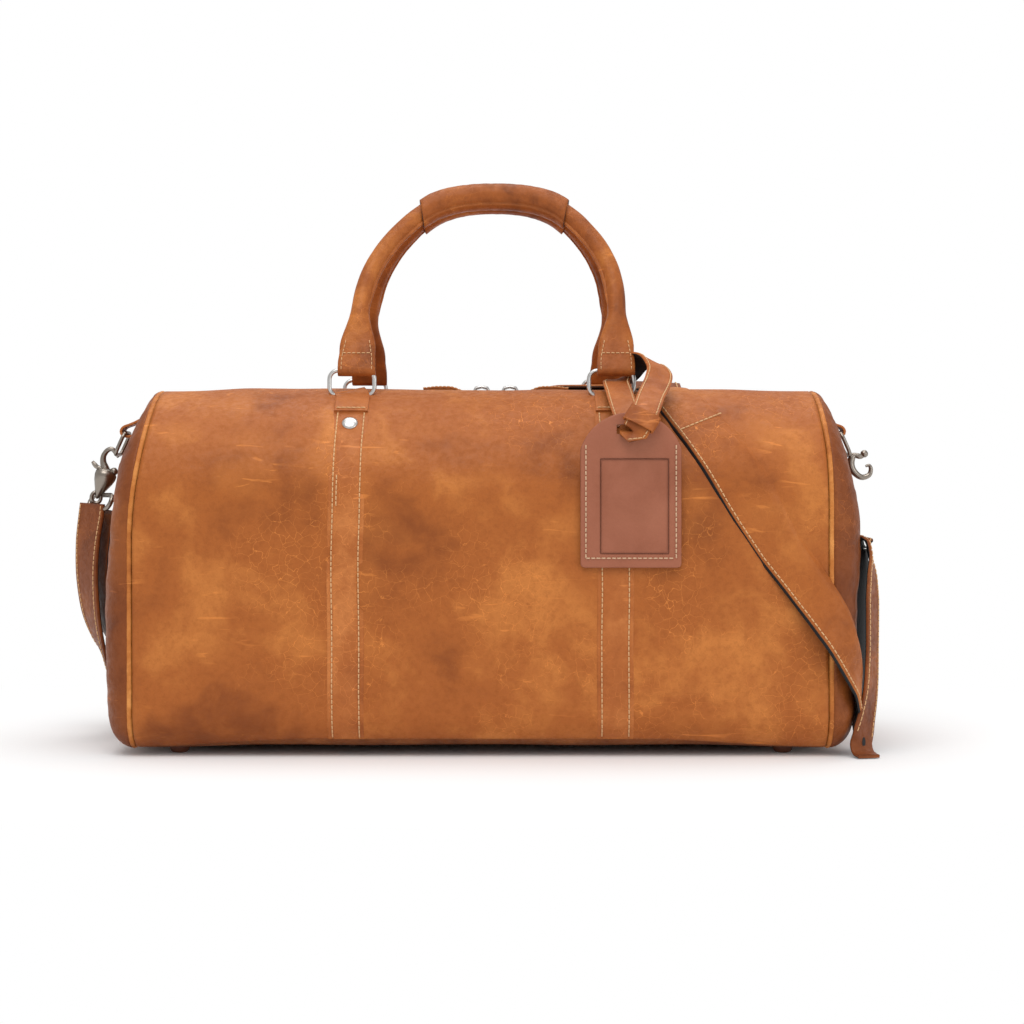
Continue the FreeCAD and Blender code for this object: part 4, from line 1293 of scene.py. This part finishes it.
# Routes over the leather as (x, s); SLING_NEAR is the side of the front run that stands up and is sewn.
FRONT_ROUTE = [(131, 2), (131, 22), (135, 44), (143, 72), (156, 101), (186, 152), (213, 193)]
REAR_ROUTE = [(131, 2.4), (131, -20), (134, -50), (136, -85), (126, -125), (95, -160), (40, -192),
              (-40, -225), (-130, -255), (-208, -283)]
SLING_NEAR = -1


def smooth_route(route, step):
    """(x, s) places about step mm apart, on a smooth line through the route's."""
    pts = resample([(Vector((x, s, 0)), Vector((0, 0, 1))) for x, s in route], step)
    return [(p.x, p.y) for p, _ in pts]


def sling_front():
    """From the top down over the front and round the lower right corner to the bag's end."""
    stations = [on_leather(x, s, 0.8) for x, s in smooth_route(FRONT_ROUTE, 3.0)]
    y = -HALF_DEPTH
    tail = [
        (stations[-2][0], stations[-2][1]),
        (Vector((235, y - 4.6, 120)), Vector((0.05, -1, 0))),
        (Vector((END_START + 3, y - 4.6, 96)), Vector((0.4, -1, 0))),
        (Vector((END_WALL - 8, y - 0.5, 75)), Vector((0.8, -0.75, 0))),
        (Vector((END_WALL - 2.2, y + 11, 57)), Vector((1, -0.35, 0))),
        (Vector((END_WALL - 0.4, y + 24, 43)), Vector((1, -0.12, 0))),
        (Vector((END_WALL + 0.6, y + 32.4, 32.7)), Vector((1, 0, 0))),
    ]
    run = stations[:-2] + resample(tail, 3.0)
    obj = ribbon("sling_over_front", run, 40.0, 2.6, [body_mat, backing_mat], "bag", "strap_leather",
                 crown=0.3, thin_side=SLING_NEAR)
    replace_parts(obj, "shoulder_strap_front")
    ribbon_stitches(body_threads, run, SLING_NEAR * 18.0, 2.68, 0.02, length=2.6)
    over_front = [row for row in station_frames(run) if row[0].y < -80]
    place, _, across, look = min(over_front, key=lambda row: abs(row[0].z - 234.0))
    line = [(place + across * q + look * 2.85, look) for q in spread(-17.5, 17.5, 14)]
    stitch_line(body_threads, line, 3.8, 2.8)


def sling_rear():
    """From the top slantwise over the rear to the left corner."""
    stations = []
    for i, (x, s) in enumerate(smooth_route(REAR_ROUTE, 4.0)):
        stations.append(on_leather(x, s, min(0.8 + i * 0.12, 2.9)))
    obj = ribbon("sling_over_rear", stations, 40.0, 2.6, [shaded_sling_mat, backing_mat], "bag", "strap_leather")
    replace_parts(obj, "shoulder_strap_rear")
    for off in (-16.8, 16.8):
        ribbon_stitches(body_threads, stations, off, 2.72)
    return stations


def sling_right():
    """At the right end: through a low fold and up, then over a high fold and down to the floor."""
    y = -HALF_DEPTH
    w = END_WALL
    rise = [
        ((w + 0.6, y + 33.1, 31.7), (1, 0, 0)), ((w + 0.6, y + 37, 24), (1, 0, 0)),
        ((w + 1.6, y + 38.5, 16), (0.8, 0, 0.6)), ((w + 4.0, y + 39, 13), (0, 0, 1)),
        ((w + 6.4, y + 39.5, 16), (-0.8, 0, 0.6)), ((w + 6.4, y + 39, 26), (-1, 0.16, 0)),
        ((w + 5.4, y + 36, 62), (-1, 0.5, 0)), ((w + 5.2, y + 35, 100), (-1, 0.5, 0)),
        ((w + 5.6, y + 36.5, 130), (-1, 0.55, 0)), ((w + 5.0, y + 37.5, 145), (-1, 0.5, 0.1)),
    ]
    run = resample(rise, 3.0)
    obj = ribbon("sling_rise", run, 28.0, 2.2, [shaded_sling_mat, backing_mat], "bag", "strap_leather")
    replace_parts(obj, "shoulder_strap_rise")
    fall = [
        ((w + 5.0, y + 37.5, 144.6), (-1, 0.5, 0.1)), ((w + 4.6, y + 37.4, 149.6), (-0.7, 0.1, 0.7)),
        ((w + 5.8, y + 36.4, 151.6), (0.2, 0, 1)), ((w + 7.6, y + 34.5, 147.5), (0.85, 0, 0.55)),
        ((w + 9.2, y + 32.5, 139), (1, -0.14, 0.2)), ((w + 10.1, y + 30.8, 126), (1, -0.4, 0)),
        ((w + 9.9, y + 28, 109), (1, -0.52, 0)),
        ((w + 9.2, y + 25, 75), (1, -0.5, 0)), ((w + 7.4, y + 21, 46), (1, -0.56, 0)),
        ((w + 3.4, y + 17, 25), (1, -0.66, 0.1)), ((w + 0.2, y + 13, 12), (0.9, -0.78, 0.15)),
        ((w - 0.6, y + 9, 5.4), (0.5, -0.6, 0.6)), ((w + 0.6, y + 3, 1.6), (0.1, -0.2, 1)),
        ((w + 2.6, y - 5, 0.7), (0, 0, 1)),
    ]
    run = resample(fall, 2.5)
    obj = ribbon("sling_fall", run, lambda t: 26.0 - 10.0 * smooth_step(0.8, 1.0, t), 2.2,
                 [shaded_sling_mat, backing_mat], "bag", "strap_leather")
    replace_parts(obj, "shoulder_strap_end")
    for off in (-10.0, 10.0):
        ribbon_stitches(body_threads, run, off, 2.35, 0.05, 0.86)
    rows = station_frames(run)
    place, along, across, look = rows[int(0.895 * (len(rows) - 1))]
    centre = place + look * 2.85
    oval = [centre + across * (1.9 * math.cos(a)) + along * (3.8 * math.sin(a)) for a in circle(24)]
    build_mesh("sling_fall_slot", oval, [tuple(range(24))], backing_mat, "bag", "strap_leather")


def sling_left(rear_run):
    """Hangs from the left ring, swings back round the rear corner and joins the rear run."""
    below = STRAP_RING_TOP - 15.0 + 1.8 - 0.3
    top = turned_out(leaned((SWIVEL_X, 0, below), "left"))
    end_place, end_face = rear_run[-1]
    stations = [
        ((top.x - 1.6, top.y - 1.0, top.z + 6), (-0.7, -0.72, 0)),
        ((top.x - 2.4, top.y - 1.0, top.z - 2), (-0.7, -0.74, 0)),
        ((top.x - 5.4, top.y + 0.4, top.z - 24), (-0.76, -0.7, 0)),
        ((top.x - 6.0, top.y + 2, top.z - 52), (-0.82, -0.62, 0)),
        ((top.x - 2.4, top.y + 5, top.z - 84), (-0.9, -0.5, -0.05)),
        ((top.x + 5, top.y + 16, top.z - 112), (-0.95, -0.3, -0.15)),
        ((-END_WALL - 14, 40, top.z - 132), (-1, -0.05, -0.2)),
        ((-END_WALL - 7, 80, 38), (-1, 0.3, -0.05)),
        ((-END_WALL - 2, HALF_DEPTH - 12, 41), (-1, 0.6, 0)),
        ((-END_START - 12, HALF_DEPTH + 4, 46), (-0.6, 1, 0)),
        ((-END_START + 4, HALF_DEPTH + 5.5, end_place.z - 12), (-0.15, 1, 0)),
        (tuple(end_place), tuple(end_face)),
    ]
    run = resample(stations, 3.0)
    obj = ribbon("sling_left_drop", run, lambda t: 30.0 + 10.0 * smooth_step(0.0, 0.45, t), 2.6,
                 [shaded_sling_mat, backing_mat], None, "strap_leather")
    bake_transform(obj)
    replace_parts(obj, "shoulder_strap_left")
    threads = Parts()
    for off in (-13.2, 13.2):
        ribbon_stitches(threads, run, off, 2.72, 0.02, 0.42)
    for off in (-16.4, 16.4):
        ribbon_stitches(threads, run, off, 2.72, 0.44)
    sewn = threads.build("sling_left_stitches", thread_mat, None, "strap_leather")
    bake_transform(sewn)
    inner = []
    for p, f in run[2:int(len(run) * 0.52)]:
        inner.append((p - f.normalized() * 4.2 + Vector((1.5, 5.0, 0)), -f))
    back = ribbon("sling_left_return", inner, 30.0, 2.0, [backing_mat, shaded_sling_mat], None, "strap_leather")
    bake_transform(back)


sling_front()
rear_run = sling_rear()
sling_right()
sling_left(rear_run)
body_threads.build("leather_stitches", thread_mat, "bag", "strap_leather")


# ---------------------------------------------------------------- luggage tag

TAG_X = 104.5
TAG_LOW = 133.0
TAG_HIGH = 241.0
TAG_HALF = 35.0
TAG_ARCH = 26.0
TAG_BACK_Y = -123.2
TAG_FRONT_Y = TAG_BACK_Y - 2.2 - 0.6 - 0.4
SLOT_Z = 229.0
# The pressed window: left and right from the tag's middle, low and high from its lower edge.
WINDOW = (-21.0, 26.0, 10.0, 75.5)


def tag_half(z, margin=0.0):
    """Half width of the arch-topped outline at height z."""
    half, low, high = TAG_HALF - margin, TAG_LOW + margin, TAG_HIGH - margin
    shoulder = TAG_HIGH - TAG_ARCH + margin * 0.4
    if z <= shoulder:
        corner = 3.0
        if z < low + corner:
            d = corner - (z - low)
            return half - corner + math.sqrt(max(corner ** 2 - d ** 2, 0))
        return half
    rise = high - shoulder
    radius = (half ** 2 + rise ** 2) / (2 * rise)
    return math.sqrt(max(radius ** 2 - (z - (high - radius)) ** 2, 0.01))


def tag_sheet(name, y, thick, margin, material, node, window, slot_name):
    """Leather or card plate with the strap slot; the front one has a pressed window."""
    zs = spread(TAG_LOW + margin, TAG_HIGH - margin - 0.02, 150)
    cols = 101
    verts = []
    for z in zs:
        half = tag_half(z, margin)
        for c in range(cols):
            x = (-1 + 2 * c / (cols - 1)) * half
            depth = 0.0
            if window:
                left, right, low, high = WINDOW
                edge = min(x - left, right - x, z - TAG_LOW - low, TAG_LOW + high - z)
                depth = 0.55 * smooth_step(-0.5, 0.5, edge)
                depth += 0.25 * math.exp(-(edge / 0.7) ** 2)
                rim = min(half - abs(x), z - TAG_LOW, tag_high_gap(x, z))
                depth += 0.5 * math.exp(-max(rim, 0) / 0.6)
            verts.append(Vector((TAG_X + x, y + depth, z)))
    faces = []
    for face in grid_faces(len(zs), cols):
        middle = sum((verts[i] for i in face), Vector((0, 0, 0))) / 4
        if abs(middle.x - TAG_X) >= 10.0 or abs(middle.z - SLOT_Z) >= 3.2:
            faces.append(face)
    obj = build_mesh(name, verts, faces, material, "luggage_tag", slot_name, extra=(edge_and_shadow_mat,))
    thicken(obj, thick, 1)
    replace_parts(obj, node)


def tag_high_gap(x, z):
    """Distance to the tag's arched upper edge, or a great one below the arch."""
    if z < TAG_HIGH - TAG_ARCH:
        return 99.0
    radius = (TAG_HALF ** 2 + TAG_ARCH ** 2) / (2 * TAG_ARCH)
    return radius - math.hypot(x, z - (TAG_HIGH - radius))


tag_sheet("tag_rear_leather", TAG_BACK_Y - 2.2, 2.1, 0.0, tag_mat, "tag_back", False, "tag_leather")
tag_sheet("tag_paper", TAG_BACK_Y - 2.2 - 0.8, 0.5, 4.0, card_mat, "tag_card", False, "card")
tag_sheet("tag_front_leather", TAG_FRONT_Y - 2.2, 2.1, 0.0, tag_mat, "tag_front", True, "tag_leather")


def tag_window():
    """Edge line of the pressed window, darker where the leather is cut in."""
    left, right, low, high = WINDOW
    corners = [(left, high), (right, high), (right, low), (left, low)]
    rows = []
    for (x0, z0), (x1, z1) in zip(corners, corners[1:] + corners[:1]):
        for i in range(24):
            t = i / 24
            x = (x0 + (x1 - x0) * t) * (1 - 0.002 * math.sin(t * math.pi))
            rows.append(Vector((TAG_X + x, TAG_FRONT_Y - 2.18, TAG_LOW + z0 + (z1 - z0) * t)))
    parts = Parts()
    parts.add(*tube_mesh(rows, 0.34, True, 8, ACROSS))
    parts.build("tag_window_line", window_mat, "luggage_tag", "tag_leather")


tag_window()
tag_threads = Parts()
y = TAG_FRONT_Y - 2.25
look = Vector((0, -1, 0))
rows = [[(Vector((TAG_X + sx * 31.3, y, z)), look) for z in spread(140, 221, 40)] for sx in (-1, 1)]
rows.append([(Vector((TAG_X + x, y, 139.7)), look) for x in spread(-31, 31, 30)])
for row in rows:
    stitch_line(tag_threads, row, 3.6, 2.3, 0.55)
tag_threads.build("tag_stitches", tag_thread_mat, "luggage_tag", "tag_leather")


def tag_strap():
    """Out through the tag's slot, up beside the handle ring, back through it and down behind the tag."""
    z = SLOT_Z
    front = TAG_FRONT_Y - 2.2
    stations = [
        ((TAG_X + 1, TAG_BACK_Y + 2.2, z + 1.5), (0, 0.7, 1)),
        ((TAG_X + 1.5, TAG_BACK_Y - 1, z - 1.8), (0, 0, 1)),
        ((TAG_X + 2, front - 1.8, z - 2.8), (-0.1, -0.3, 1)),
        ((TAG_X + 3, front - 4.8, z - 1.0), (-0.25, -1, 0.2)),
        ((TAG_X + 5.5, front - 5.0, z + 4), (-0.2, -1, 0.25)),
        ((TAG_X + 9.6, front - 1.5, z + 11), (-0.15, -1, 0.35)),
        ((TAG_X + 15.4, front + 18, z + 24), (-0.1, -1, 0.5)),
        ((TAG_X + 21.4, -91, 264.5), (0.1, -1, 0.6)),
        ((TAG_X + 22.6, -80, 272.6), (0.5, -0.8, 0.7)),
        ((TAG_X + 17.5, -70, 279.2), (0.6, -0.3, 0.8)),
        ((TAG_X + 10.5, -58, 281.0), (0.2, 0.6, 0.9)),
        ((TAG_X + 4, -50, 275.5), (0, 1, 0.3)),
        ((TAG_X - 1, -52.5, 268.5), (0, 0.5, 1)),
        ((TAG_X - 6, BAR_Y + 4, BAR_Z + 8.6), (0, 0, 1)),
        ((TAG_X - 7, BAR_Y - 5, BAR_Z + 6.4), (0, -0.3, 1)),
        ((TAG_X - 6, BAR_Y - 18, BAR_Z + 1), (0, -0.5, 1)),
        ((TAG_X - 4.5, BAR_Y - 36, BAR_Z - 8), (0, -0.7, 1)),
        ((TAG_X - 2, BAR_Y - 50, BAR_Z - 18), (0, -1, 0.8)),
        ((TAG_X, TAG_BACK_Y + 2.5, z + 3.5), (0, -1, 0.3)),
    ]
    run = resample(stations, 1.6)
    obj = ribbon("tag_leather_strap", run, 19.5, 1.8, [strap_mat, backing_mat], "luggage_tag", "tag_leather",
                 crown=0.15)
    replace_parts(obj, "tag_strap")
    threads = Parts()
    for off in (-8.0, 8.0):
        ribbon_stitches(threads, run, off, 1.88, 0.06, 0.97, 3.4, 2.5, 0.42)
    rows = station_frames(run)
    place, _, across, look = min(rows[:len(rows) // 3], key=lambda row: abs(row[0].z - 236.5))
    loop = []
    for a in circle(36) + [2 * math.pi]:
        beside, above = math.cos(a), math.sin(a)
        off = across * (10.4 * rounder(beside, 0.35)) + look * (0.9 + 2.1 * rounder(above, 0.5))
        loop.append((place + off, (across * beside * 0.5 + look * above).normalized()))
    ribbon("tag_strap_keeper", loop, 12.0, 1.4, [strap_mat], "luggage_tag", "tag_leather", crown=0.1)
    threads.build("tag_strap_stitches", thread_mat, "luggage_tag", "tag_leather")


tag_strap()

for node_name, node_material in (("base_board", board_mat), ("foot_washers", nickel_mat),
                                 ("rivet_washers", nickel_mat)):
    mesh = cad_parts[node_name].data
    mesh.materials.clear()
    mesh.materials.append(node_material)


# ---------------------------------------------------------------- floor, camera, lamps

def stage():
    """White floor that fades into plain white away from the bag, so that only the soft shadow shows."""
    mesh = bpy.data.meshes.new("floor")
    mesh.from_pydata([(-8, -8, 0), (8, -8, 0), (8, 8, 0), (-8, 8, 0)], [], [(0, 1, 2, 3)])
    floor = bpy.data.objects.new("floor", mesh)
    bpy.context.scene.collection.objects.link(floor)
    m = Shade("floor_white")
    m.set(Base_Color=(0.9, 0.9, 0.9, 1), Roughness=0.9, Specular_IOR_Level=0.0)
    radius = m.node("VectorMath")
    radius.operation = "LENGTH"
    m.link(m.scaled(0.45, 1, 1), radius.inputs[0])
    far = m.node("MapRange", From_Min=0.1, From_Max=0.42)
    far.interpolation_type = "SMOOTHSTEP"
    m.link(radius.outputs["Value"], far.inputs["Value"])
    glow = m.node("Emission", Color=(1, 1, 1, 1), Strength=1.0)
    mixed = m.node("MixShader")
    m.link(far.outputs["Result"], mixed.inputs["Fac"])
    m.link(m.bsdf.outputs["BSDF"], mixed.inputs[1])
    m.link(glow.outputs["Emission"], mixed.inputs[2])
    m.link(mixed.outputs["Shader"], m.tree.nodes["Material Output"].inputs["Surface"])
    floor.data.materials.append(m.material)


stage()
world = bpy.data.worlds.new("studio")
bpy.context.scene.world = world
world.use_nodes = True
tree = world.node_tree
back = tree.nodes["Background"]
path = tree.nodes.new("ShaderNodeLightPath")
seen = tree.nodes.new("ShaderNodeBackground")
for light, strength in ((back, 0.62), (seen, 1.0)):
    light.inputs["Color"].default_value = (1, 1, 1, 1)
    light.inputs["Strength"].default_value = strength
choose = tree.nodes.new("ShaderNodeMixShader")
tree.links.new(path.outputs["Is Camera Ray"], choose.inputs["Fac"])
tree.links.new(back.outputs["Background"], choose.inputs[1])
tree.links.new(seen.outputs["Background"], choose.inputs[2])
tree.links.new(choose.outputs["Shader"], tree.nodes["World Output"].inputs["Surface"])


def lamp(name, place, target, size, power):
    light = bpy.data.lights.new(name, "AREA")
    light.shape = "RECTANGLE"
    light.size, light.size_y = size
    light.energy = power
    obj = bpy.data.objects.new(name, light)
    obj.location = place
    obj.rotation_euler = (Vector(target) - Vector(place)).to_track_quat("-Z", "Y").to_euler()
    bpy.context.scene.collection.objects.link(obj)


lamp("key_above", (-0.3, -1.3, 2.2), (0, 0, 0.1), (1.8, 1.4), 26)
lamp("top_back", (0.1, 0.5, 2.4), (0, 0, 0.1), (2.0, 1.4), 20)
lamp("fill_right", (2.0, -1.6, 0.8), (0, 0, 0.2), (1.2, 1.2), 9)

# The focal length and the shift, in a picture 1024 wide, come from the photograph's perspective.
SENSOR = 36.0
IMAGE = 1024
FOCAL = 1979
SHIFT = 22
camera = bpy.data.cameras.new("camera")
camera.sensor_width = SENSOR
camera.lens = FOCAL / IMAGE * SENSOR
camera.shift_y = -SHIFT / IMAGE
camera.clip_start = 0.05
view = bpy.data.objects.new("camera", camera)
view.location = (0.022, -1.5, 0.187)
view.rotation_euler = (math.radians(90), 0, 0)
bpy.context.scene.collection.objects.link(view)
bpy.context.scene.camera = view
bpy.context.scene.view_settings.view_transform = "Standard"
